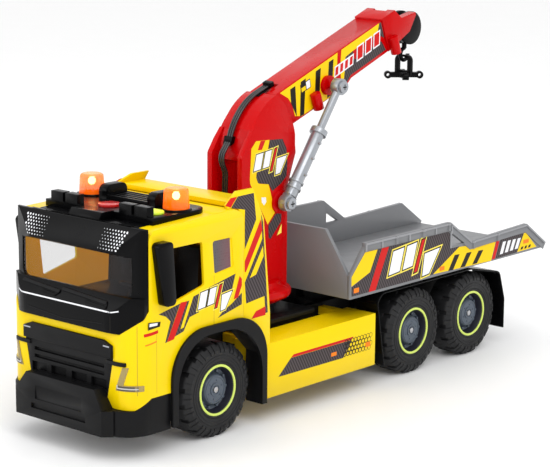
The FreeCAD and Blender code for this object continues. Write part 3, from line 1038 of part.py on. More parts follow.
# Hoses up the front of the column and over its cowl, in two clips
HOSE_ROUTE = [("-hose_face_reach", "pivot_height - hose_foot_drop"),
              ("-hose_face_reach", "pivot_height - hose_bend_drop", "hose_round"),
              ("-hose_lip_reach", "pivot_height - hose_lip_drop", "hose_round"),
              ("-hose_knee_reach", "pivot_height - hose_knee_drop", "hose_round"),
              ("-hose_brow_reach", "pivot_height + hose_brow_rise", "hose_brow_round"),
              ("hose_end_reach", "pivot_height + hose_end_rise")]
HOSES = {"left": "hose_pitch", "middle": "0", "right": "-hose_pitch"}
hoses = [tube("hose_" + name, "hose_radius", place, HOSE_ROUTE) for name, place in HOSES.items()]
LEAN_HEIGHT = "(pivot_height - hose_shift_drop)"
LEAN = {"lean": "hose_lean", "x": f"-hose_shift - {LEAN_HEIGHT} * sin(hose_lean)", "y": "slew_reach",
        "z": f"{LEAN_HEIGHT} - {LEAN_HEIGHT} * cos(hose_lean)"}
hose_set = doc.addObject("Part::Compound", "hose_set")
hose_set.Links = hoses
node("hoses", hose_set, **LEAN)


def over_cowl(along, out):
    """A point of the side view, measured from the cowl's tip along the boom's line and out from it."""
    return (f"cowl_tip_reach + ({along}) * cos(boom_rise) - ({out}) * sin(boom_rise)",
            f"pivot_height + cowl_tip_rise + ({along}) * sin(boom_rise) + ({out}) * cos(boom_rise)")


CLIP_FOOT = "pivot_height - clip_drop"
low_clip = slab("low_clip", "yz", "-clip_half", "clip_half", [
    ("-clip_seat", CLIP_FOOT), ("-clip_seat - clip_thick", f"{CLIP_FOOT} - clip_seat_set"),
    ("-clip_seat - clip_thick + clip_seat_set", f"{CLIP_FOOT} + clip_height"),
    ("-clip_seat + clip_seat_set", f"{CLIP_FOOT} + clip_height")])
top_clip = slab("top_clip", "yz", "-clip_half", "clip_half", [
    over_cowl("-clip_toe", "clip_rest"), over_cowl("clip_start + clip_length", "clip_rest"),
    over_cowl("clip_start + clip_length", "clip_top"), over_cowl("clip_start", "clip_top"),
    over_cowl("clip_start", "clip_rest + clip_strap"), over_cowl("-clip_toe", "clip_rest + clip_strap")])
node("hose_clips", cut("clips", fuse("clip_blocks", low_clip, top_clip), fuse("hose_holes", *hoses)), **LEAN)

# Load tray: floor, side walls, headboard and the beams that it hinges on
BED_FLOOR_TOP = "bed_bottom + bed_floor"
node("bed_floor", block("floor", ("-bed_half + bed_wall", "bed_half - bed_wall"),
     ("bed_front + headboard_thick", "tail_reach - bed_wall * 2"), ("bed_bottom", BED_FLOOR_TOP)))
bed_side = slab("bed_side", "yz", "bed_half - bed_wall", "bed_half", [
    ("bed_front", "bed_bottom"), ("tail_reach - bed_wall", "bed_bottom"), ("tail_reach", "bed_tail_tip"),
    ("bed_tail_start", "bed_tail_rise"), ("bed_drop_end", "bed_low_rail"), ("bed_drop_start", "bed_rail_top"),
    ("bed_front + bed_nose_set", "bed_rail_top"), ("bed_front + bed_nose_set", "headboard_side"),
    ("bed_front", "bed_nose_height")])
RAIL_LINE = [("bed_front + bed_nose_set", "bed_rail_top"), ("bed_drop_start", "bed_rail_top"),
             ("bed_drop_end", "bed_low_rail"), ("bed_tail_start", "bed_tail_rise"),
             ("tail_reach", "bed_tail_tip")]
RAIL = RAIL_LINE + inward(RAIL_LINE, "rail_band")
rail_strip = slab("rail_strip", "yz", "bed_half", "bed_half + rail_proud", RAIL)
RIBS = 5
rib_columns = [block(f"rib_column_{n}", ("bed_half", "bed_half + rail_proud * 2"),
                     (f"rib_start + rib_pitch * {n}", f"rib_start + rib_pitch * {n} + rail_rib"),
                     ("bed_bottom", "bed_rail_top")) for n in range(RIBS)]
ribs = common("rail_ribs", slab("rib_strip", "yz", "bed_half", "bed_half + rail_proud * 2", RAIL),
              fuse("rib_columns", *rib_columns))
strut_hole = slab("strut_hole", "yz", "bed_half - bed_wall", "bed_half + rail_proud * 2", [
    ("bed_drop_start + strut_web", "bed_low_rail"), ("bed_drop_end - strut_toe", "bed_low_rail"),
    ("bed_drop_start + strut_web", "bed_rail_top - strut_toe")])
bed_side_railed = fuse("bed_side_railed", bed_side, rail_strip, ribs)
node("bed_sides", pair("bed_side_pair", cut("bed_side_open", bed_side_railed, strut_hole)))
node("bed_headboard", slab("headboard", "xz", "bed_front", "bed_front + headboard_thick", [
    ("-bed_half + bed_wall", "bed_bottom"), ("bed_half - bed_wall", "bed_bottom"),
    ("bed_half - bed_wall", "bed_nose_height"),
    ("headboard_crest_half", "headboard_crest"), ("-headboard_crest_half", "headboard_crest"),
    ("-bed_half + bed_wall", "bed_nose_height")]))
bed_beam = slab("bed_beam", "yz", "bed_beam_inside", "bed_beam_outside", [
    ("bed_beam_front", "rail_top + bed_rest_gap"), ("hinge_reach - hinge_radius", "rail_top + bed_rest_gap"),
    ("hinge_reach", "hinge_height - hinge_radius", "hinge_radius / 2"),
    ("hinge_reach + hinge_radius", "hinge_height - hinge_radius", "hinge_radius / 2"),
    ("hinge_reach + hinge_radius", "bed_bottom"), ("bed_beam_front", "bed_bottom")])
beam_bore = rod("beam_bore", "x", "hinge_pin_radius + pin_gap", "0", "bed_beam_outside",
                ("hinge_reach", "hinge_height"))
node("bed_beams", pair("bed_beam_pair", cut("bed_beam_bored", bed_beam, beam_bore)))

# Check every object, then write one file for each piece
doc.recompute()
faults = [thing.Name for thing in doc.Objects if {"Invalid", "Error"} & set(thing.State)]
for piece in NODES:
    if piece.Shape.isNull() or not piece.Shape.isValid() or not piece.Shape.Solids:
        faults.append(piece.Label)
if faults:
    raise RuntimeError("not built: " + ", ".join(faults))
os.makedirs("parts", exist_ok=True)
for piece in NODES:
    piece.Shape.exportStep(f"parts/{piece.Label}.step")
    print(piece.Label, len(piece.Shape.Solids), round(piece.Shape.Volume), piece.Shape.BoundBox)
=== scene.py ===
import json
import math

import bmesh
import bpy
from mathutils import Matrix, Vector
from mathutils.bvhtree import BVHTree


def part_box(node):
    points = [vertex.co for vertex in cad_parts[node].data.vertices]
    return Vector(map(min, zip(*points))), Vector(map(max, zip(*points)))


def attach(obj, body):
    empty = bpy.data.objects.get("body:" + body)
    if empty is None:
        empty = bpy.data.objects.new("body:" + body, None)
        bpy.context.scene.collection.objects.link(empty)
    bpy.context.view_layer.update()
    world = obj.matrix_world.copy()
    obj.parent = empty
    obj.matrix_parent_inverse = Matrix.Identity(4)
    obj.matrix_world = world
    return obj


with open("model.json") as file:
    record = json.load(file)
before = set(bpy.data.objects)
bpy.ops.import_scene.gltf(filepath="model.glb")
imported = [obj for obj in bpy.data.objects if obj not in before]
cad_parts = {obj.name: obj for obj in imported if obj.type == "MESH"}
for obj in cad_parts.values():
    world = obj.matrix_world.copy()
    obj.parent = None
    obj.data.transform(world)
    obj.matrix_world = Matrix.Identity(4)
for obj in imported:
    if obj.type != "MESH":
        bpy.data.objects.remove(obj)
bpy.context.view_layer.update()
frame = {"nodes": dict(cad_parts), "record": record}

# Toy tow truck on a pale studio floor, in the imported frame: the truck faces -Y and its left side
# is +X. Blender works in metres. Sizes, outlines and sections below are millimetres, which mm()
# and side() turn to metres, apart from the camera's place and the studio.

nodes = frame["nodes"]
scene = bpy.context.scene


def mm(*sizes):
    """Millimetres to metres: one number, or a vector of three."""
    scaled = [size / 1000 for size in sizes]
    return scaled[0] if len(scaled) == 1 else Vector(scaled)


# Camera, placed as the photograph was taken

CAMERA_PLACE = Vector((1.15312, -1.33970, 0.50868))
CAMERA_AZIMUTH = math.radians(41.31)
CAMERA_DIP = math.radians(11.84)
CAMERA_ROLL = math.radians(0.47)
LENS_MM = 127.28
SENSOR_MM = 36
VIEW_END = 20


def add_camera():
    data = bpy.data.cameras.new("camera")
    data.lens = LENS_MM
    data.sensor_width = SENSOR_MM
    data.clip_end = VIEW_END
    camera = bpy.data.objects.new("camera", data)
    scene.collection.objects.link(camera)
    turn = Matrix.Rotation(CAMERA_AZIMUTH, 4, "Z") @ Matrix.Rotation(math.pi / 2 - CAMERA_DIP, 4, "X")
    camera.matrix_world = Matrix.Translation(CAMERA_PLACE) @ turn @ Matrix.Rotation(CAMERA_ROLL, 4, "Z")
    scene.camera = camera


add_camera()


# Nodes that several finishes share

NOISE_DETAIL = 3
NOISE_MIDDLE = (0.3, 0.7)
MOTTLE_SCALE = 14
GLOSS_SCALE = 60
LENS_SCALE = 80
FILM_SCALE = 40
FINE_GRAIN_SCALE = 900
GRAIN_DEPTH_MM = 0.1
PLASTIC_SPREAD = (0.85, 1.15)
LENS_SPREAD = (0.7, 1.4)
COAT_ROUGHNESS = 0.06
ACRYLIC_IOR = 1.49


def new_material(name):
    material = bpy.data.materials.new(name)
    material.use_nodes = True
    tree = material.node_tree
    return material, tree, tree.nodes["Principled BSDF"]


def own_place(tree):
    """The point's place in the piece's own space, which is the truck's."""
    return tree.nodes.new("ShaderNodeTexCoord").outputs["Object"]


def noise(tree, scale):
    """Noise in the truck's own space, so that it runs on from one piece to the next."""
    texture = tree.nodes.new("ShaderNodeTexNoise")
    texture.inputs["Scale"].default_value = scale
    texture.inputs["Detail"].default_value = NOISE_DETAIL
    tree.links.new(own_place(tree), texture.inputs["Vector"])
    return texture.outputs["Fac"]


def mapped(tree, source, old, new=(0, 1)):
    """A number moved from one range to another and held at its ends."""
    node = tree.nodes.new("ShaderNodeMapRange")
    for name, value in zip(("From Min", "From Max", "To Min", "To Max"), (*old, *new)):
        node.inputs[name].default_value = value
    tree.links.new(source, node.inputs["Value"])
    return node.outputs["Result"]


def mixed(tree, factor, first, second):
    """A colour between two; each is three numbers or another node's colour."""
    mix = tree.nodes.new("ShaderNodeMix")
    mix.data_type = "RGBA"
    for name, colour in (("A", first), ("B", second)):
        if isinstance(colour, tuple):
            mix.inputs[name].default_value = (*colour, 1)
        else:
            tree.links.new(colour, mix.inputs[name])
    tree.links.new(factor, mix.inputs["Factor"])
    return mix.outputs["Result"]


def darker(colour, share):
    return tuple(channel * (1 - share) for channel in colour)


# Finishes

def plastic(name, colour, roughness=0.3, coat=0.0, grain=0.08, grain_scale=FINE_GRAIN_SCALE,
            metallic=0.0, shade=0.08, gloss=0.5):
    """Moulded plastic: a faint change of shade and gloss, and a fine skin."""
    material, tree, shader = new_material(name)
    body = mixed(tree, noise(tree, MOTTLE_SCALE), colour, darker(colour, shade))
    tree.links.new(body, shader.inputs["Base Color"])
    skin = mapped(tree, noise(tree, GLOSS_SCALE), NOISE_MIDDLE,
                  [roughness * share for share in PLASTIC_SPREAD])
    tree.links.new(skin, shader.inputs["Roughness"])
    bump = tree.nodes.new("ShaderNodeBump")
    bump.inputs["Strength"].default_value = grain
    bump.inputs["Distance"].default_value = mm(GRAIN_DEPTH_MM)
    tree.links.new(noise(tree, grain_scale), bump.inputs["Height"])
    tree.links.new(bump.outputs["Normal"], shader.inputs["Normal"])
    shader.inputs["Metallic"].default_value = metallic
    shader.inputs["Specular IOR Level"].default_value = gloss
    shader.inputs["Coat Weight"].default_value = coat
    shader.inputs["Coat Roughness"].default_value = COAT_ROUGHNESS
    return material


def lens(name, colour, alpha, roughness=0.08, glow=0.0):
    """Clear or tinted plastic that lets light through."""
    material, tree, shader = new_material(name)
    shader.inputs["Base Color"].default_value = (*colour, 1)
    skin = mapped(tree, noise(tree, LENS_SCALE), NOISE_MIDDLE,
                  [roughness * share for share in LENS_SPREAD])
    tree.links.new(skin, shader.inputs["Roughness"])
    shader.inputs["Alpha"].default_value = alpha
    shader.inputs["IOR"].default_value = ACRYLIC_IOR
    shader.inputs["Emission Color"].default_value = (*colour, 1)
    shader.inputs["Emission Strength"].default_value = glow
    return material


YELLOW = plastic("yellow_plastic", (0.9, 0.64, 0.0), 0.34, coat=0.05, gloss=0.14)
BLACK = plastic("black_plastic", (0.002, 0.002, 0.0024), 0.24, gloss=0.09)
DARK = plastic("dark_plastic", (0.005, 0.005, 0.0055), 0.42, gloss=0.14)
RED = plastic("red_plastic", (0.54, 0.0, 0.001), 0.26, coat=0.05, gloss=0.12)
GREY = plastic("grey_plastic", (0.19, 0.195, 0.205), 0.42, gloss=0.4)
SILVER = plastic("silver_plastic", (0.38, 0.4, 0.43), 0.32, metallic=0.7)
HUB = plastic("hub_plastic", (0.075, 0.095, 0.125), 0.42, metallic=0.2)
WELL = plastic("wheel_well", (0.012, 0.013, 0.022), 0.4, gloss=0.4)
NEON = plastic("neon_plastic", (0.68, 0.82, 0.16), 0.4, gloss=0.3)
RUBBER = plastic("tyre_rubber", (0.011, 0.011, 0.012), 0.55, grain=0.3, grain_scale=1500, gloss=0.3)
HOSE = plastic("hose_rubber", (0.012, 0.012, 0.013), 0.22, gloss=0.7)
STEEL = plastic("steel", (0.5, 0.5, 0.52), metallic=1.0)
BUTTON = plastic("red_button", (0.6, 0.01, 0.01), 0.25, coat=0.3)
ORANGE = lens("orange_lens", (1.0, 0.16, 0.003), 0.72, glow=0.55)
CLEAR = lens("clear_lens", (0.42, 0.33, 0.14), 0.6)
WINDOW = lens("window", (0.03, 0.028, 0.03), 0.2, roughness=0.04)
DOME = lens("neon_dome", (0.75, 0.95, 0.05), 0.9, glow=0.15)
LED = lens("led", (1.0, 0.62, 0.2), 1.0, glow=14.0)

FINISHES = {
    "yellow_plastic": YELLOW, "black_plastic": BLACK, "dark_plastic": DARK, "red_plastic": RED,
    "grey_plastic": GREY, "silver_plastic": SILVER, "hub_plastic": HUB, "orange_lens": ORANGE,
    "clear_lens": CLEAR, "window": WINDOW, "red_button": BUTTON, "neon_dome": DOME,
    "tyre": RUBBER, "steel": STEEL,
}

BULB_INSET_MM = 11.2
BULB_HEIGHT_SHARE = 0.6
HALO_RISE_MM = 0.3
HALO_MM = (12, 9)
HALO_EDGE = (0.9, 0.1, 0.0)
HALO_CORE = (1.0, 0.42, 0.05)


def bulb_place(sign):
    """The middle of the left (1) or right (-1) beacon's bulb."""
    low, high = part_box("beacons")
    height = low.z * (1 - BULB_HEIGHT_SHARE) + high.z * BULB_HEIGHT_SHARE
    return Vector((sign * (high.x - mm(BULB_INSET_MM)), (low.y + high.y) / 2, height))


def add_halo(material):
    """Brighter, yellower light in the lens round both bulbs, by folding the right side onto the left."""
    tree = material.node_tree
    fold = tree.nodes.new("ShaderNodeVectorMath")
    fold.operation = "ABSOLUTE"
    tree.links.new(own_place(tree), fold.inputs[0])
    reach = tree.nodes.new("ShaderNodeVectorMath")
    reach.operation = "DISTANCE"
    x, y, z = bulb_place(1)
    reach.inputs[1].default_value = (x, -y, z + mm(HALO_RISE_MM))
    tree.links.new(fold.outputs["Vector"], reach.inputs[0])
    share = mapped(tree, reach.outputs["Value"], [mm(radius) for radius in HALO_MM])
    light = mixed(tree, share, HALO_EDGE, HALO_CORE)
    tree.links.new(light, tree.nodes["Principled BSDF"].inputs["Emission Color"])


add_halo(ORANGE)

WELD_MM = 0.02
ROUND_MM = 0.6
ROUND_ANGLE = math.radians(32)


def soften(obj):
    """Small rounds on the moulding's edges."""
    weld = obj.modifiers.new("weld", "WELD")
    weld.merge_threshold = mm(WELD_MM)
    bevel = obj.modifiers.new("rounds", "BEVEL")
    bevel.width = mm(ROUND_MM)
    bevel.segments = 2
    bevel.limit_method = "ANGLE"
    bevel.angle_limit = ROUND_ANGLE
    bevel.harden_normals = True


for part in frame["record"]["subparts"]:
    node = nodes[part["node"]]
    node.data.materials.clear()
    node.data.materials.append(FINISHES[part["material_slot"]])
    for face in node.data.polygons:
        face.use_smooth = True
    if part["material_slot"] != "window":
        soften(node)

nodes["hoses"].data.materials[0] = HOSE


# Making a piece, and the shapes that repeat

AXLE_ROW_MM = -182


def side(y_mm, z_mm, x_mm):
    """A point in metres by its place beside the truck; y is from the front axle."""
    return mm(x_mm, y_mm + AXLE_ROW_MM, z_mm)


def add_mesh(name, verts, faces, material, body, part_slot=None, smooth=False, closed=False):
    """A new piece that rides on a body; a closed one gets its faces turned outward."""
    mesh = bpy.data.meshes.new(name)
    mesh.from_pydata(verts, [], faces)
    mesh.materials.append(material)
    mesh.update()
    if closed:
        solid = bmesh.new()
        solid.from_mesh(mesh)
        bmesh.ops.recalc_face_normals(solid, faces=solid.faces)
        solid.to_mesh(mesh)
        solid.free()
    obj = bpy.data.objects.new(name, mesh)
    scene.collection.objects.link(obj)
    for face in mesh.polygons:
        face.use_smooth = smooth
    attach(obj, body)


def belt(a, b, count):
    """Faces between two rings of vertices, which start at a and b."""
    return [(a + n, a + (n + 1) % count, b + (n + 1) % count, b + n) for n in range(count)]


def turned(profile, sides, place):
    """A closed round solid; place gives the point for an entry of the profile and an angle."""
    verts = [place(entry, 2 * math.pi * n / sides) for entry in profile for n in range(sides)]
    faces = [tuple(range(sides)), tuple(range(len(verts) - sides, len(verts)))]
    for row in range(len(profile) - 1):
        faces += belt(row * sides, (row + 1) * sides, sides)
    return verts, faces


def gather(parts):
    """Several solids as one mesh."""
    verts, faces = [], []
    for more_verts, more_faces in parts:
        start = len(verts)
        verts += more_verts
        faces += [tuple(start + index for index in face) for face in more_faces]
    return verts, faces


def box(u0, v0, u1, v1):
    return [(u0, v0), (u1, v0), (u1, v1), (u0, v1)]


def slanted(u, v, width, height, slant):
    """A block that stands on (u, v) and leans by slant at its top."""
    return [(u, v), (u + width, v), (u + width + slant, v + height), (u + slant, v + height)]


def hexagon(u, v, radius):
    return [(u + radius * math.sin(math.pi / 3 * n), v + radius * math.cos(math.pi / 3 * n))
            for n in range(6)]


SHARPEST_CORNER = 0.4


def grow(polygon, margin):
    """A convex polygon moved outward by a margin."""
    points = [Vector((u, v)) for u, v in polygon]
    centre = sum(points, Vector((0, 0))) / len(points)
    grown = []
    for index, point in enumerate(points):
        normals = []
        for a, b in ((points[index - 1], point), (point, points[(index + 1) % len(points)])):
            normal = Vector(((b - a).y, -(b - a).x)).normalized()
            normals.append(normal if normal.dot(a - centre) > 0 else -normal)
        middle = (normals[0] + normals[1]).normalized()
        grown.append(tuple(point + middle * (margin / max(middle.dot(normals[0]), SHARPEST_CORNER))))
    return grown


# Printed stickers: flat shapes just off the surface that carries them, the same on both sides

PRINT_LIFT_MM = 0.05
PRINT_STEP_MM = 0.06
INK_ROUGHNESS = 0.35
INK_GLOSS = 0.15
FILM_SHADE = 0.07
CARBON_LEAN = math.radians(-30)
CARBON_SCALE = 110


def sticker(name, polygons, place, material, body, surface_mm, layer=1):
    """Polygons printed on a face at x = surface_mm and mirrored; a higher layer covers a lower one."""
    verts, faces = [], []
    for sign in (1, -1):
        x = sign * (surface_mm + layer * PRINT_STEP_MM + PRINT_LIFT_MM)
        for polygon in polygons:
            faces.append(tuple(range(len(verts), len(verts) + len(polygon))))
            verts += [place(u, v, x) for u, v in polygon]
    add_mesh(name, verts, faces, material, body)


def carbon_weave(tree):
    """Fine slanted lines."""
    turn = tree.nodes.new("ShaderNodeMapping")
    turn.inputs["Rotation"].default_value = (CARBON_LEAN, 0, 0)
    wave = tree.nodes.new("ShaderNodeTexWave")
    wave.bands_direction = "Y"
    wave.inputs["Scale"].default_value = CARBON_SCALE
    tree.links.new(own_place(tree), turn.inputs["Vector"])
    tree.links.new(turn.outputs["Vector"], wave.inputs["Vector"])
    return wave.outputs["Fac"]


def ink(name, colour, second=None):
    """Printed film, faintly mottled, or with slanted lines of a second colour."""
    material, tree, shader = new_material(name)
    shader.inputs["Roughness"].default_value = INK_ROUGHNESS
    shader.inputs["Specular IOR Level"].default_value = INK_GLOSS
    pattern = carbon_weave(tree) if second else noise(tree, FILM_SCALE)
    film = mixed(tree, pattern, colour, second or darker(colour, FILM_SHADE))
    tree.links.new(film, shader.inputs["Base Color"])
    return material


INK_WHITE = ink("ink_white", (0.86, 0.87, 0.9))
INK_RED = ink("ink_red", (0.6, 0.008, 0.006))
INK_YELLOW = ink("ink_yellow", (0.93, 0.62, 0.0))
INK_PALE_YELLOW = ink("ink_pale_yellow", (1.0, 0.82, 0.12))
INK_CARBON = ink("ink_carbon", (0.022, 0.017, 0.018), (0.0908, 0.0738, 0.0772))
INK_BLACK = ink("ink_black", (0.012, 0.01, 0.008))
INK_ORANGE = ink("ink_orange", (0.95, 0.22, 0.01))

# A stepped emblem of slanted blocks with a slash, in shares of its width and height
EMBLEM_BLOCKS = [
    [(0.03, 0.28), (0.23, 0.32), (0.31, 0.90), (0.11, 0.86)],
    [(0.29, 0.33), (0.47, 0.37), (0.55, 0.95), (0.37, 0.91)],
    [(0.66, 0.03), (0.79, 0.06), (0.99, 0.66), (0.70, 0.60)]]
EMBLEM_SLASH = [(0.50, 0.18), (0.56, 0.20), (0.70, 0.99), (0.64, 0.97)]


def emblem(name, low, high, body, surface_mm, line_mm):
    """The emblem between two corners, with a pale outline and a black edge."""
    shapes = [[(low[0] + u * (high[0] - low[0]), low[1] + v * (high[1] - low[1])) for u, v in shape]
              for shape in (*EMBLEM_BLOCKS, EMBLEM_SLASH)]
    outlines = [grow(shape, 2 * line_mm) for shape in shapes]
    edges = [grow(shape, line_mm) for shape in shapes]
    sticker(name + "_outline", outlines, side, INK_PALE_YELLOW, body, surface_mm, 3)
    sticker(name + "_edge", edges, side, INK_BLACK, body, surface_mm, 4)
    sticker(name + "_blocks", shapes[:-1], side, INK_WHITE, body, surface_mm, 5)
    sticker(name + "_slash", shapes[-1:], side, INK_RED, body, surface_mm, 6)


CAB_SIDE_MM = 78


def add_door_print():
    sticker("door_carbon", [
        [(-75.9, 121.9), (-51.0, 126.6), (-66.5, 97.0), (-68.5, 96.5), (-62.2, 113.7), (-67.7, 118.7)],
        [(-35.2, 129.7), (-28.7, 131.0), (-28.7, 115.2), (-39.7, 113.1), (-47.1, 102.4), (-58.6, 99.6),
         (-42.6, 126.9), (-40.0, 127.3), (-50.8, 104.8), (-46.8, 105.6)],
        [(-19.0, 133.6), (15.9, 140.5), (10.6, 124.9), (-12.0, 124.9)],
        [(-5.8, 106.0), (1.8, 111.6), (10.7, 115.0), (23.8, 122.6), (23.8, 112.6)]],
        side, INK_CARBON, "chassis", CAB_SIDE_MM)
    sticker("door_red", [
        [(-50.4, 127.2), (-42.6, 127.2), (-58.3, 97.9), (-66.4, 96.9)],
        [(20.9, 137.6), (23.7, 134.6), (23.7, 129.0), (19.0, 119.3), (13.6, 118.6)]],
        side, INK_RED, "chassis", CAB_SIDE_MM, 2)
    emblem("door_emblem", (-31.5, 111.0), (12.0, 134.6), "chassis", CAB_SIDE_MM, 0.8)
    sticker("door_marks_dark", [[(-88.0, 110.8), (-74.5, 111.6), (-73.5, 115.6), (-87.6, 117.0)]],
            side, INK_BLACK, "chassis", CAB_SIDE_MM)
    sticker("door_marks_white", [[(-86.6, 113.4), (-77.5, 113.2), (-77.0, 115.2), (-86.2, 116.0)]],
            side, INK_WHITE, "chassis", CAB_SIDE_MM, 2)


PANE_DEPTH_MM = 0.8
PANE_FADE_MM = (AXLE_ROW_MM - 8, AXLE_ROW_MM + 12)
PANE_CELL_SCALE = 420
PANE_CELL_DISORDER = 0.15
PANE_CELL_EDGE = (0.25, 0.5)
PANE_CELL_SHARE = 0.35
PANE_DARK = (0.03, 0.026, 0.03)
PANE_RED = (0.16, 0.01, 0.02)
PANE_LIGHT = (0.16, 0.14, 0.15)


def add_pane_print():
    """The rear pane's printed mesh: dark at its front, red at its rear, with lighter cell walls."""
    material, tree, shader = new_material("ink_mesh")
    place = own_place(tree)
    split = tree.nodes.new("ShaderNodeSeparateXYZ")
    tree.links.new(place, split.inputs["Vector"])
    fade = mapped(tree, split.outputs["Y"], [mm(edge) for edge in PANE_FADE_MM])
    cells = tree.nodes.new("ShaderNodeTexVoronoi")
    cells.inputs["Scale"].default_value = PANE_CELL_SCALE
    cells.inputs["Randomness"].default_value = PANE_CELL_DISORDER
    tree.links.new(place, cells.inputs["Vector"])
    walls = mapped(tree, cells.outputs["Distance"], PANE_CELL_EDGE, (0, PANE_CELL_SHARE))
    film = mixed(tree, walls, mixed(tree, fade, PANE_DARK, PANE_RED), PANE_LIGHT)
    tree.links.new(film, shader.inputs["Base Color"])
    shader.inputs["Roughness"].default_value = INK_ROUGHNESS
    pane = [(-11.6, 172.2), (9.2, 172.2), (10.6, 147.2), (-9.6, 144.6)]
    sticker("pane_print", [pane], side, material, "chassis", CAB_SIDE_MM - PANE_DEPTH_MM)


# The fairing's print is drawn as on an upright side. Above LEAN_START_MM the side leans in by
# LEAN_RATE, which draws a height out by LEAN_SINK and sets it back by LEAN_SHIFT of the lean.
LEAN_START_MM = 183
LEAN_RATE = 14 / 23.5
LEAN_SHIFT = 1.138
LEAN_SINK = 1.189


def leaning(y_mm, z_mm, x_mm):
    """A point on the fairing's side, which leans inward above LEAN_START_MM."""
    rise = max(z_mm - LEAN_START_MM, 0) / LEAN_SINK
    lean = rise * LEAN_RATE
    return side(y_mm + lean * LEAN_SHIFT, min(z_mm, LEAN_START_MM) + rise,
                math.copysign(abs(x_mm) - lean, x_mm))


def split_level(polygon, level):
    """A polygon's parts below and above a level."""
    parts = []
    for sign in (1, -1):
        kept = []
        for index, (u, v) in enumerate(polygon):
            last_u, last_v = polygon[index - 1]
            if (last_v - level) * (v - level) < 0:
                share = (level - last_v) / (v - last_v)
                kept.append((last_u + share * (u - last_u), level))
            if sign * (level - v) >= 0:
                kept.append((u, v))
        if len(kept) > 2:
            parts.append(kept)
    return parts


def fairing_sticker(name, polygons, material, layer=1):
    """A sticker bent where the fairing starts to lean."""
    bent = [part for polygon in polygons for part in split_level(polygon, LEAN_START_MM)]
    sticker(name, bent, leaning, material, "chassis", CAB_SIDE_MM, layer)


def add_fairing_print():
    fairing_sticker("fairing_carbon", [
        [(17.6, 206.4), (37.8, 206.8), (41.4, 183.2), (27.2, 159.4), (27.0, 193.6), (9.8, 197.6)],
        [(47.6, 187.0), (50.0, 180.0), (57.0, 99.6), (53.9, 99.2), (52.6, 114.6), (29.3, 112.1),
         (27.4, 130.7), (49.4, 165.3)]], INK_CARBON)
    fairing_sticker("fairing_red", [
        [(2.2, 200.4), (8.6, 206.2), (16.8, 206.4), (9.2, 198.0)],
        [(47.0, 182.3), (49.2, 172.8), (28.5, 139.4), (27.2, 140.1), (27.2, 149.2)],
        [(53.8, 105.3), (53.9, 97.6), (36.0, 97.4), (41.8, 103.1)]], INK_RED, 2)
    fairing_sticker("fairing_bars", [
        [(50.2, 159.0), (51.0, 150.0), (41.5, 135.3), (33.6, 133.5)],
        [(27.2, 152.0), (46.6, 183.6), (46.9, 182.4), (27.2, 149.4)]], INK_YELLOW, 2)


CELL_START_MM = (162.5, 40.6)
CELL_PITCH_MM = 4.4
CELL_ROW_SHARE = 0.86
CELL_RADIUS_SHARE = 0.57
CELL_ROWS = 4
CELL_COLUMNS = 9
CELL_WALL_SHARES = [0.25 * (0.78 - 0.055 * column) for column in range(CELL_COLUMNS)]


def add_skirt_print():
    sticker("skirt_carbon", [[(71.6, 38.6), (88.0, 52.4), (172.0, 52.4), (160.5, 37.8)]],
            side, INK_CARBON, "chassis", CAB_SIDE_MM)
    sticker("skirt_red", [[(88.2, 52.6), (91.8, 55.0), (175.0, 55.0), (171.6, 52.6)]],
            side, INK_RED, "chassis", CAB_SIDE_MM)
    cells = []
    for row in range(CELL_ROWS):
        for column, wall in enumerate(CELL_WALL_SHARES):
            u = CELL_START_MM[0] + CELL_PITCH_MM * (column + row % 2 / 2)
            v = CELL_START_MM[1] + CELL_PITCH_MM * CELL_ROW_SHARE * row
            outer = hexagon(u, v, CELL_PITCH_MM * CELL_RADIUS_SHARE)
            inner = hexagon(u, v, CELL_PITCH_MM * (CELL_RADIUS_SHARE - wall))
            cells += [[outer[n], outer[(n + 1) % 6], inner[(n + 1) % 6], inner[n]] for n in range(6)]
    sticker("skirt_cells", cells, side, INK_BLACK, "chassis", CAB_SIDE_MM, 2)
    sticker("skirt_markers", [box(143.2, 42.3, 150.8, 45.7), box(192.4, 41.4, 199.4, 45.9)],
            side, INK_ORANGE, "chassis", CAB_SIDE_MM, 3)


CRANE_SIDE_MM = 21


def add_column_print():
    sticker("column_yellow", [
        [(96.2, 203.0), (98.0, 230.2), (104.2, 236.3), (122.0, 235.5), (117.0, 215.0), (105.7, 210.4),
         (104.5, 203.7), (108.4, 197.6), (121.2, 195.5), (124.0, 187.7), (130.0, 168.4), (120.3, 158.9),
         (111.7, 173.2), (96.7, 199.0)]],
        side, INK_YELLOW, "crane", CRANE_SIDE_MM)
    sticker("column_carbon", [
        [(122.6, 235.4), (139.5, 234.4), (145.0, 225.4), (146.6, 213.1), (145.4, 200.1), (138.1, 194.1),
         (126.4, 188.7), (121.2, 195.5), (107.1, 198.2), (104.5, 203.7), (105.7, 210.4), (117.0, 215.0)],
        [(130.5, 166.8), (139.0, 168.4), (138.5, 159.1), (124.0, 144.8), (121.6, 147.2), (121.2, 157.9)]],
        side, INK_CARBON, "crane", CRANE_SIDE_MM, 2)
    sticker("column_red", [[(110.0, 235.8), (116.6, 235.6), (111.9, 227.7), (106.4, 227.9)]],
            side, INK_RED, "crane", CRANE_SIDE_MM, 2)
    sticker("column_wedge", [[(139.1, 156.9), (139.2, 148.7), (133.1, 147.1)]],
            side, INK_PALE_YELLOW, "crane", CRANE_SIDE_MM, 2)
    emblem("column_emblem", (99.5, 202.5), (146.0, 227.5), "crane", CRANE_SIDE_MM, 0.8)
    sticker("column_badge",
            [[(111.6, 184.9), (117.6, 184.1), (118.2, 179.9), (115.2, 177.0), (112.2, 180.4)]],
            side, INK_WHITE, "crane", CRANE_SIDE_MM, 2)


BOOM_SIDE_MM = 15.4
BOOM_RISE = math.radians(20.5)
PIVOT_MM = (137, 248)


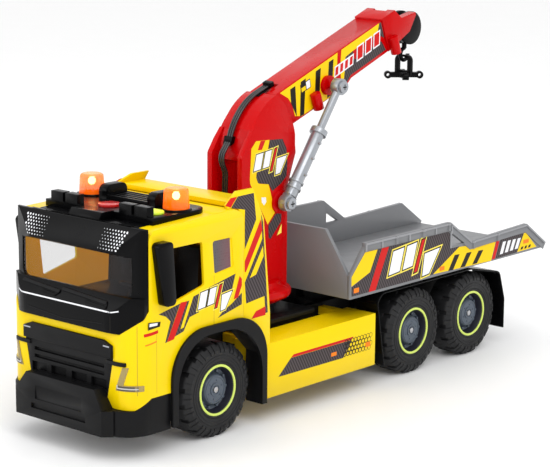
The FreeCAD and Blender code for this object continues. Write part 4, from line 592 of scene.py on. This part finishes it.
def along_boom(s_mm, n_mm, x_mm):
    """A point by its place along the boom from the pivot, and its height across the boom."""
    y = PIVOT_MM[0] + s_mm * math.cos(BOOM_RISE) - n_mm * math.sin(BOOM_RISE)
    z = PIVOT_MM[1] + s_mm * math.sin(BOOM_RISE) + n_mm * math.cos(BOOM_RISE)
    return side(y, z, x_mm)


def boom_sticker(name, polygons, material, layer=1):
    sticker(name, polygons, along_boom, material, "boom", BOOM_SIDE_MM, layer)


def add_boom_print():
    boom_sticker("boom_yellow", [
        [(14.0, 23.4), (99.4, 23.4), (93.6, 9.0), (80.0, -11.0), (33.6, -9.4), (25.6, -5.4), (25.6, 6.0),
         (22.6, 14.0)],
        [(105.4, 23.4), (164.7, 23.4), (159.0, 15.5), (121.0, 15.5), (104.0, 3.0), (99.6, -9.6),
         (94.0, -9.6), (98.6, 9.0)]], INK_YELLOW)
    boom_sticker("boom_bars", [
        [(27.6, 20.4), (35.2, 20.4), (27.6, -7.2), (24.6, 8.0)],
        [(43.2, 20.4), (50.6, 20.4), (37.6, -9.4), (31.6, -9.0)],
        [(65.4, 20.4), (73.0, 20.4), (60.0, -9.6), (53.0, -9.6)],
        [(85.1, 20.4), (92.2, 20.4), (79.0, -10.0), (72.0, -10.0)]], INK_BLACK, 2)
    boom_sticker("boom_carbon", [
        [(108.6, 14.6), (120.4, 15.4), (120.0, 6.8), (162.0, 6.0), (165.6, -4.6), (110.4, -4.6),
         (101.0, -9.4), (98.6, -6.0), (103.4, 3.0)],
        [(164.9, 23.4), (167.2, 23.4), (167.2, 7.0), (158.5, 15.1)]], INK_CARBON, 2)
    blocks = [slanted(123.5 + 13.2 * n, 4.4 + 0.3 * n, width=8, height=11, slant=4.3) for n in range(3)]
    blocks += [slanted(89 + 7.4 * n, 4.4, width=4.4, height=7, slant=3.2) for n in range(4)]
    boom_sticker("boom_block_edge", [grow(block, 1.3) for block in blocks], INK_WHITE, 3)
    boom_sticker("boom_blocks", blocks, INK_RED, 4)
    boom_sticker("boom_note_dark", [slanted(40, 9.9, width=14.6, height=8.1, slant=1.2)], INK_BLACK, 3)
    boom_sticker("boom_note_white", [slanted(48.4, 10.6, width=5.6, height=6.6, slant=1)], INK_WHITE, 4)
    boom_sticker("boom_note_yellow", [[(41.2, 10.8), (47.4, 10.8), (47.9, 14.6), (41.8, 14.6)]],
                 INK_YELLOW, 4)


TRAY_SIDE_MM = 80


def tray_sticker(name, polygons, material, layer=1):
    sticker(name, polygons, side, material, "tray", TRAY_SIDE_MM, layer)


def add_tray_print():
    tray_sticker("tray_carbon", [
        [(205.0, 131.6), (313.4, 131.6), (317.0, 128.4), (317.0, 114.6), (333.0, 114.5), (290.6, 93.6),
         (168.5, 93.6), (168.5, 102.3), (194.4, 111.9)]], INK_CARBON)
    tray_sticker("tray_yellow", [
        [(187.0, 131.6), (205.0, 131.6), (194.4, 111.9), (168.0, 102.9), (168.0, 111.6)],
        [(290.6, 93.9), (331.6, 114.0), (392.5, 109.6), (385.6, 91.6)]], INK_YELLOW, 2)
    tray_sticker("tray_red", [
        [(211.4, 131.6), (221.9, 131.6), (203.0, 93.6), (193.0, 93.6)],
        [(394.0, 111.0), (399.6, 111.0), (392.0, 92.4), (386.8, 92.4)]], INK_RED, 2)
    tray_sticker("tray_hazard", [
        [(u + 10, 107.2 - n), (u + 18, 106.8 - n), (u + 8, 93), (u, 93)]
        for n, u in enumerate((314.6, 334.2, 353.8))], INK_BLACK, 3)
    emblem("tray_emblem", (219.5, 93.8), (301.0, 131.0), "tray", TRAY_SIDE_MM, 1.2)
    tray_sticker("tray_end_carbon", [[(393.0, 92.4), (400.6, 110.8), (441.0, 110.8), (430.0, 93.0)]],
                 INK_CARBON, 2)
    tray_sticker("tray_end_bars", [
        slanted(400 + 8.6 * n, 95.6 + 0.4 * n, width=5.4, height=12 - 0.6 * n, slant=5)
        for n in range(4)], INK_WHITE, 3)
    tray_sticker("tray_end_yellow", [[(430.6, 93.2), (441.6, 110.8), (445.0, 110.8), (464.6, 93.4)]],
                 INK_YELLOW, 2)
    tray_sticker("tray_end_chips", [
        slanted(436 + 6.6 * n, 94.6, width=3.8, height=2.8, slant=1.8) for n in range(3)], INK_BLACK, 3)
    tray_sticker("tray_markers", [
        box(171.4, 96.2, 178.8, 100.6), box(300.6, 95.2, 308.4, 99.3), box(440.6, 100.0, 450.4, 103.8)],
        INK_ORANGE, 4)


for add_print in (add_door_print, add_pane_print, add_fairing_print, add_skirt_print, add_column_print,
                  add_boom_print, add_tray_print):
    add_print()


# Lines and marks pressed onto a node's own surface, found by a ray from in front of it

RAY_START_MM = 400
STRIP_STEP_MM = 2.5
STRIP_ROOT_MM = 0.2


def surface(node_name):
    node = nodes[node_name]
    return BVHTree.FromPolygons([node.matrix_world @ vertex.co for vertex in node.data.vertices],
                                [tuple(face.vertices) for face in node.data.polygons])


def pressed(tree, u_mm, v_mm, lift_mm, facing="front"):
    """The surface's point at (x, z) seen from the front, or (y, z) from the left, lifted off it."""
    if facing == "front":
        start, way = mm(u_mm, -RAY_START_MM, v_mm), Vector((0, 1, 0))
    else:
        start, way = side(u_mm, v_mm, RAY_START_MM), Vector((-1, 0, 0))
    place = tree.ray_cast(start, way)[0]
    if place is None:
        return None
    return place - way * mm(lift_mm)


def along(path):
    """Points every few millimetres along a path, with the direction there."""
    points = []
    for (u0, v0), (u1, v1) in zip(path, path[1:]):
        length = math.hypot(u1 - u0, v1 - v0)
        count = max(1, round(length / STRIP_STEP_MM))
        for n in range(count + 1):
            share = n / count
            points.append((u0 + (u1 - u0) * share, v0 + (v1 - v0) * share,
                           (u1 - u0) / length, (v1 - v0) / length))
    return points


def add_strips(name, paths, material, node_name, width, height, facing="front", body="chassis"):
    """Raised lines along paths on a node's surface; those seen from the left are mirrored."""
    tree = surface(node_name)
    verts, faces = [], []
    for path in paths:
        start = len(verts)
        for u, v, du, dv in along(path):
            across_u, across_v = dv * width / 2, du * width / 2
            edges = [(u - across_u, v + across_v), (u + across_u, v - across_v)]
            foot = [pressed(tree, *edge, -STRIP_ROOT_MM, facing) for edge in edges]
            top = [pressed(tree, *edge, height, facing) for edge in edges]
            if None not in foot:
                verts += [foot[0], top[0], top[1], foot[1]]
        rows = range(start, len(verts), 4)
        for a, b in zip(rows, rows[1:]):
            faces += belt(a, b, 4)
        if len(rows) > 1:
            faces += [tuple(range(rows[0], rows[0] + 4)), tuple(range(rows[-1], rows[-1] + 4))]
    if facing == "left":
        start = len(verts)
        verts += [Vector((-v.x, v.y, v.z)) for v in verts]
        faces += [tuple(start + index for index in face) for face in faces]
    add_mesh(name, verts, faces, material, body, closed=True)


CAP_SPAN_MM = (-88.6, -64)
CAP_HALF_MM = 60
CAP_LIFT_MM = 0.5
CAP_ROWS = 8
CAP_COLUMNS = 30


def add_roof_cap():
    """The mask's black skin carried back over the roof's front edge to the rack."""
    trees = [surface("cab_shell"), surface("front_mask")]
    front, rear = CAP_SPAN_MM
    verts = []
    for row in range(CAP_ROWS + 1):
        y = front + (rear - front) * row / CAP_ROWS
        for column in range(CAP_COLUMNS + 1):
            x = CAP_HALF_MM * (2 * column / CAP_COLUMNS - 1)
            hits = [tree.ray_cast(side(y, RAY_START_MM, x), Vector((0, 0, -1)))[0] for tree in trees]
            height = max([hit.z for hit in hits if hit], default=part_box("front_mask")[1].z)
            verts.append(side(y, CAP_LIFT_MM, x) + Vector((0, 0, height)))
    span = CAP_COLUMNS + 1
    faces = [(row * span + n, row * span + n + 1, (row + 1) * span + n + 1, (row + 1) * span + n)
             for row in range(CAP_ROWS) for n in range(CAP_COLUMNS)]
    add_mesh("roof_cap", verts, faces, BLACK, "chassis", "black_plastic", smooth=True)


DOT_PITCH_MM = 3.3
DOT_ROW_MM = 2.45
DOT_ROWS = 7
DOT_COLUMNS = 11
DOT_START_MM = (33, 174.3)
DOT_EDGE_MM = (55, 172)
DOT_EDGE_LEAN = 0.3
DOT_SMALL_MM = 0.3
DOT_GROWTH = 0.75 / 26
DOT_LIFT_MM = 0.08


def add_visor_dots():
    """A screen of printed dots on both ends of the visor, larger toward the outside."""
    tree = surface("front_mask")
    verts, faces = [], []
    for sign in (1, -1):
        for row in range(DOT_ROWS):
            v = DOT_START_MM[1] + row * DOT_ROW_MM
            for column in range(DOT_COLUMNS):
                u = DOT_START_MM[0] + DOT_PITCH_MM * (column + row % 2 / 2)
                if u > DOT_EDGE_MM[0] + (v - DOT_EDGE_MM[1]) * DOT_EDGE_LEAN:
                    continue
                radius = DOT_SMALL_MM + DOT_GROWTH * (u - DOT_START_MM[0])
                ring = [pressed(tree, sign * (u + radius * math.cos(math.pi / 3 * n)),
                                v + radius * math.sin(math.pi / 3 * n), DOT_LIFT_MM) for n in range(6)]
                if None not in ring:
                    faces.append(tuple(range(len(verts), len(verts) + 6)))
                    verts += ring
    add_mesh("visor_dots", verts, faces, INK_WHITE, "chassis")


def add_front_lines():
    add_strips("hood_line", [[(-60, 126.3), (-54, 124.9), (54, 124.9), (60, 126.3)]],
               INK_WHITE, "front_mask", width=1.0, height=0.15)
    add_strips("wipers", [[(-57, 134.5), (-10, 131.5)], [(-8, 134.0), (46, 131.0)]],
               DARK, "front_mask", width=2.2, height=1.4)
    add_strips("wiper_arms", [[(-10, 131.5), (-14, 128.5), (-30, 129.5)],
                              [(46, 131.0), (47, 127.6), (22, 129.0)]],
               BLACK, "front_mask", width=1.6, height=1.0)
    add_strips("mask_seams", [[(53, 108.5), (53, 121.5)], [(-53, 108.5), (-53, 121.5)]],
               INK_BLACK, "front_mask", width=0.5, height=0.06)
    add_strips("hood_crease", [[(-45, 114.5), (0, 111.0), (45, 114.5)]],
               DARK, "front_mask", width=0.6, height=0.25)
    add_strips("bar_marks", [[(-55, 95.5), (-44, 95.5)], [(44, 95.5), (51, 95.5)]],
               SILVER, "grille", width=1.2, height=0.15)


def add_seams():
    seam = plastic("seam_shade", (0.5, 0.33, 0.0), 0.5)
    add_strips("door_seams", [[(-10.4, 143.4), (-10.4, 100.6)], [(-95.2, 119.5), (-95.2, 56.5)],
                              [(-78.2, 108.0), (-78.2, 56.5)]],
               seam, "cab_shell", width=0.5, height=0.05, facing="left")
    add_strips("cab_marks", [[(-90.5, 106.4), (-76.5, 107.8)]],
               INK_RED, "cab_shell", width=2.6, height=0.06, facing="left")
    add_strips("cab_marks_low", [[(-89.5, 98.0), (-78.0, 100.0)]],
               INK_ORANGE, "cab_shell", width=1.3, height=0.06, facing="left")


def add_lamp_insides():
    chrome = plastic("lamp_chrome", (0.55, 0.54, 0.5), 0.2, metallic=0.9)
    shade = plastic("lamp_shade", (0.06, 0.05, 0.035), 0.35)
    paths = [[(sign * 59.4, 78.4), (sign * 58.4, 62.4), (sign * 74, 62.4)] for sign in (1, -1)]
    add_strips("lamp_shades", paths, shade, "headlamps", width=3.6, height=0.1)
    add_strips("lamp_bars", paths, chrome, "headlamps", width=1.1, height=0.5)


RIM_POSTS_MM = (187.0, 210.4, 251.2, 292.0)


def add_tray_rims():
    """The thin light rim along the top of each tray side, with posts down to the print."""
    rim = plastic("rim_plastic", (0.29, 0.295, 0.31), 0.4, gloss=0.4)
    rails = [[(186.4, 139.2), (315.6, 139.2)], [(316.8, 138.4), (350.2, 116.0)],
             [(351.4, 115.7), (444.4, 118.7)], [(445.4, 118.2), (477.2, 96.4)]]
    strut = [(317.4, 138.0), (317.4, 115.0)]
    posts = [[(y, 138.4), (y, 132.6)] for y in RIM_POSTS_MM]
    add_strips("tray_rims", rails + [strut] + posts, rim, "bed_sides", width=1.7, height=0.8,
               facing="left", body="tray")


for add_detail in (add_roof_cap, add_visor_dots, add_front_lines, add_seams, add_lamp_insides,
                   add_tray_rims):
    add_detail()


# Arch trims: a smooth black lip round each front wheel's opening

ARCH_OUTER = [(-62, 24, 0), (-62, 101.5, 40), (54.5, 101.5, 38), (54.5, 20, 0)]
ARCH_INNER = [(-55.5, 24, 0), (-55.5, 94.5, 40), (48, 94.5, 46), (48, 20, 0)]
ARCH_STEPS = 14
ARCH_FOOT_MM = 77.7
ARCH_FACE_MM = 80.9
ARCH_CHAMFER_MM = 0.7
ARCH_DROP_MM = 0.6
ARCH_EDGE_SHARE = 0.99


def rounded(corners):
    """An open line through corners (u, v, radius), with an arc at each that has a radius."""
    points = []
    for index, (u, v, radius) in enumerate(corners):
        if not radius:
            points.append((u, v))
            continue
        corner = Vector((u, v))
        start, end = [corner + (Vector(other[:2]) - corner).normalized() * radius
                      for other in (corners[index - 1], corners[index + 1])]
        centre = start + end - corner
        for n in range(ARCH_STEPS + 1):
            turn = math.pi / 2 * n / ARCH_STEPS
            points.append(tuple(centre + (start - centre) * math.cos(turn) + (end - centre) * math.sin(turn)))
    return points


def arch_section(outer, inner, sign):
    """The lip's five corners at one station, with a small chamfer at its outer edge."""
    u, v = outer
    return [side(u, v, sign * ARCH_FOOT_MM), side(u, v, sign * (ARCH_FACE_MM - ARCH_CHAMFER_MM)),
            side(u * ARCH_EDGE_SHARE, v - ARCH_DROP_MM, sign * ARCH_FACE_MM),
            side(*inner, sign * ARCH_FACE_MM), side(*inner, sign * ARCH_FOOT_MM)]


def add_arch_trims():
    stations = list(zip(rounded(ARCH_OUTER), rounded(ARCH_INNER)))
    lips = []
    for sign in (1, -1):
        verts = [place for outer, inner in stations for place in arch_section(outer, inner, sign)]
        faces = [tuple(range(5)), tuple(range(len(verts) - 5, len(verts)))]
        for n in range(len(stations) - 1):
            faces += belt(5 * n, 5 * (n + 1), 5)
        lips.append((verts, faces))
    add_mesh("arch_trims", *gather(lips), DARK, "chassis", "dark_plastic", closed=True)


add_arch_trims()


# Cab walls seen from inside: thin yellow moulding, painted a darker orange as shade and given a faint orange
# glow as painted light

LINING_SILL_MM = 102
LINING_ROOF_MM = 12
LINING_WALL_MM = 2.6
LINING_SLACK_MM = 0.3
LINING_EDGE_MM = 2
FACES_FRONT = -0.9
FACES_DOWN = -0.5


def paint_glow_and_shade_inside():
    # Painted shade and painted light: the inner side walls, back and roof get an orange darker than the
    # yellow as shade, and a faint orange glow although they are no lamp
    painted_inside_light = plastic("cab_inside_painted_glow_and_shade", (0.72, 0.36, 0.0), 0.5, gloss=0.2)
    shader = painted_inside_light.node_tree.nodes["Principled BSDF"]
    shader.inputs["Emission Color"].default_value = (0.78, 0.36, 0.0, 1)
    shader.inputs["Emission Strength"].default_value = 0.45
    mesh = nodes["cab_shell"].data
    mesh.materials.append(painted_inside_light)
    low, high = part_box("cab_shell")
    middle = (low + high) / 2
    wall = high.x - mm(LINING_WALL_MM)
    for face in mesh.polygons:
        place, normal = face.center, face.normal
        sided = abs(abs(place.x) - wall) < mm(LINING_SLACK_MM) and normal.x * place.x < 0
        inward = abs(place.x) < high.x - mm(LINING_EDGE_MM)
        backed = place.y > middle.y and normal.y < FACES_FRONT and inward
        roofed = place.z > high.z - mm(LINING_ROOF_MM) and normal.z < FACES_DOWN
        if place.z > mm(LINING_SILL_MM) and (sided or backed or roofed):
            face.material_index = 1


paint_glow_and_shade_inside()


# Wheels: neon ring, dark lip, bolts, and the rings and lugs of the tyre's wall

NEON_SECTION = [(20.15, -0.3), (20.15, 0.45), (20.5, 0.85), (22.0, 0.85), (22.35, 0.45), (22.35, -0.3)]
LIP_SECTION = [(22.45, -0.3), (22.45, 0.4), (23.3, 0.8), (24.3, 0.6), (24.3, -0.3)]
WALL_RINGS = [
    [(29.6, 1.3), (29.9, 1.95), (30.5, 1.95), (30.8, 1.3)],
    [(27.2, 1.3), (27.4, 1.75), (27.9, 1.75), (28.1, 1.3)]]
HUB_RINGS = [
    [(4.3, -2.7), (4.3, -1.9), (5.7, -1.9), (5.7, -2.7)],
    [(10.7, -2.7), (10.9, -2.1), (11.7, -2.1), (11.9, -2.7)]]
LUG_SECTION = [(32.6, 1.2), (33.2, 2.2), (35.4, 2.2), (40.7, -1.65), (40.2, -3.4)]
LUG_PAIRS = 18
LUG_START = 90
LUG_SPANS = ((3.4, 9.2), (10.8, 16.6))
RING_STEPS = 72
HUB_STEPS = 48
WELL_RADIUS_MM = 17.2
BOLTS = 10
BOLT = {"ring_radius": 15.8, "radius": 1.25, "foot": -7.6, "top": -4.6}
HUB_STUDS = 6
HUB_STUD = {"ring_radius": 8.2, "radius": 0.75, "foot": -2.8, "top": -1.9}
HUB_STUD_TURN = 18
STUD_SIDES = 10
STUD_ROUND = 0.25
STUD_TOP_SHARE = 0.7


def wheel_space(wheel):
    """A function from radius and height above the rim's outer face, and degrees, to metres."""
    low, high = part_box(wheel + "_rim")
    centre = (low + high) / 2
    sign = math.copysign(1, centre.x)
    face = high.x if sign > 0 else low.x

    def point(radius, turn, height):
        angle = math.radians(turn)
        reach = mm(radius)
        return Vector((face + sign * mm(height), centre.y + reach * math.cos(angle),
                       centre.z + reach * math.sin(angle)))
    return point


def ring(point, section, steps=RING_STEPS):
    """A section of radii and heights above the rim's outer face, swept once round the wheel."""
    verts = [point(radius, 360 * step / steps, height) for step in range(steps)
             for radius, height in section]
    count = len(section)
    faces = []
    for step in range(steps):
        faces += belt(step * count, (step + 1) % steps * count, count)
    return verts, faces


def lug(point, low, high):
    """One lug of the tyre's wall, between two turns."""
    verts = [point(radius, turn, height) for turn in (low, (low + high) / 2, high)
             for radius, height in LUG_SECTION]
    count = len(LUG_SECTION)
    faces = belt(0, count, count) + belt(count, 2 * count, count)
    return verts, faces + [tuple(range(count)), tuple(range(2 * count, 3 * count))]


def stud(point, turn, ring_radius, radius, foot, top):
    """A small round stud standing on the wheel's face."""
    def place(entry, angle):
        height, share = entry
        reach = radius * share
        return point(ring_radius + reach * math.cos(angle),
                     turn + math.degrees(reach * math.sin(angle) / ring_radius), height)
    return turned([(foot, 1), (top - STUD_ROUND * radius, 1), (top, STUD_TOP_SHARE)], STUD_SIDES, place)


def add_wheel_details(wheel):
    point = wheel_space(wheel)
    body = wheel + "_wheel"
    add_mesh(wheel + "_neon_ring", *ring(point, NEON_SECTION), NEON, body, "neon_dome", True, True)
    rubber = [ring(point, section) for section in (LIP_SECTION, *WALL_RINGS)]
    for n in range(LUG_PAIRS):
        turn = LUG_START + n * 360 / LUG_PAIRS
        rubber += [lug(point, turn + low, turn + high) for low, high in LUG_SPANS]
    add_mesh(wheel + "_tyre_wall", *gather(rubber), RUBBER, body, "tyre", closed=True)
    studs = [stud(point, n * 360 / BOLTS, **BOLT) for n in range(BOLTS)]
    studs += [stud(point, HUB_STUD_TURN + n * 360 / HUB_STUDS, **HUB_STUD) for n in range(HUB_STUDS)]
    studs += [ring(point, section, HUB_STEPS) for section in HUB_RINGS]
    add_mesh(wheel + "_bolts", *gather(studs), HUB, body, "hub_plastic", closed=True)
    rim = nodes[wheel + "_rim"].data
    rim.materials.append(WELL)
    middle = point(0, 0, 0)
    for face in rim.polygons:
        reach = math.hypot(face.center.y - middle.y, face.center.z - middle.z)
        face.material_index = int(reach > mm(WELL_RADIUS_MM))


for name in nodes:
    if name.endswith("_rim"):
        add_wheel_details(name[:-len("_rim")])


# Beacon bulbs, and the heads of the cylinders' pins

BULB_RADIUS_MM = 3.2
BULB_PROFILE = [(0.55, -0.9), (1.0, -0.3), (1.0, 0.4), (0.6, 1.0)]
BULB_SIDES = 12
PIN_FACE_MM = 36.3
PIN_RADIUS_MM = 5.55
PIN_PROFILE = [(1, -2.05), (1, 0.4), (0.82, 0.9)]
PIN_SIDES = 24
SLOT_HALF_MM = (2.6, 0.55)
FOOT_PIN_MM = (136, 177.5)
LIFT_PIN = along_boom(75.4, 1.7, 0) * 1000


def add_bulbs():
    radius = mm(BULB_RADIUS_MM)
    bulbs = []
    for centre in (bulb_place(1), bulb_place(-1)):
        bulbs.append(turned(BULB_PROFILE, BULB_SIDES, lambda entry, angle: centre + radius * Vector(
            (entry[0] * math.cos(angle), entry[0] * math.sin(angle), entry[1]))))
    add_mesh("beacon_bulbs", *gather(bulbs), LED, "chassis", "orange_lens", True, True)


def add_pin_caps(name, y_mm, z_mm, body):
    """A round cap with a crossed slot on each end of a cylinder's pin."""
    caps = []
    for sign in (1, -1):
        caps.append(turned(PIN_PROFILE, PIN_SIDES, lambda entry, angle: side(
            y_mm + PIN_RADIUS_MM * entry[0] * math.cos(angle),
            z_mm + PIN_RADIUS_MM * entry[0] * math.sin(angle), sign * (PIN_FACE_MM + entry[1]))))
    add_mesh(name, *gather(caps), SILVER, body, "silver_plastic", closed=True)
    cross = [box(y_mm - u, z_mm - v, y_mm + u, z_mm + v) for u, v in (SLOT_HALF_MM, SLOT_HALF_MM[::-1])]
    sticker(name + "_cross", cross, side, INK_BLACK, body, PIN_FACE_MM + PIN_PROFILE[-1][1])


add_bulbs()
add_pin_caps("foot_caps", *FOOT_PIN_MM, "crane")
add_pin_caps("lift_caps", LIFT_PIN.y - AXLE_ROW_MM, LIFT_PIN.z, "boom")


# Studio, in metres: floor sweep, soft lights and a white surround

FLOOR_HALF = 6.0
LIGHT_TARGET = Vector((0, 0, 0.12))
LIGHTS = {
    "key": {"place": (1.6, -0.9, 1.9), "size": (1.4, 1.4), "power": 20},
    "front_fill": {"place": (-1.2, -2.0, 1.1), "size": (1.6, 1.2), "power": 10},
    "top": {"place": (0, 0.2, 2.2), "size": (1.8, 1.8), "power": 5},
}


def add_floor():
    mesh = bpy.data.meshes.new("floor")
    corners = [(u, v, 0) for u, v in box(-FLOOR_HALF, -FLOOR_HALF, FLOOR_HALF, FLOOR_HALF)]
    mesh.from_pydata(corners, [], [(0, 1, 2, 3)])
    mesh.materials.append(plastic("floor_paper", (0.95, 0.95, 0.95), 0.7, grain=0.02, shade=0.02))
    floor = bpy.data.objects.new("floor", mesh)
    scene.collection.objects.link(floor)


def add_light(name, place, size, power):
    data = bpy.data.lights.new(name, "AREA")
    data.shape = "RECTANGLE"
    data.size, data.size_y = size
    data.energy = power
    light = bpy.data.objects.new(name, data)
    scene.collection.objects.link(light)
    light.location = place
    light.rotation_euler = (LIGHT_TARGET - Vector(place)).to_track_quat("-Z", "Y").to_euler()


def add_surround():
    world = bpy.data.worlds.new("surround")
    world.use_nodes = True
    background = world.node_tree.nodes["Background"]
    background.inputs["Color"].default_value = (1, 1, 1, 1)
    background.inputs["Strength"].default_value = 1.0
    scene.world = world
    scene.view_settings.view_transform = "Standard"
    scene.view_settings.look = "None"
    scene.view_settings.exposure = 0.0


add_floor()
add_surround()
for name, light in LIGHTS.items():
    add_light(name, **light)
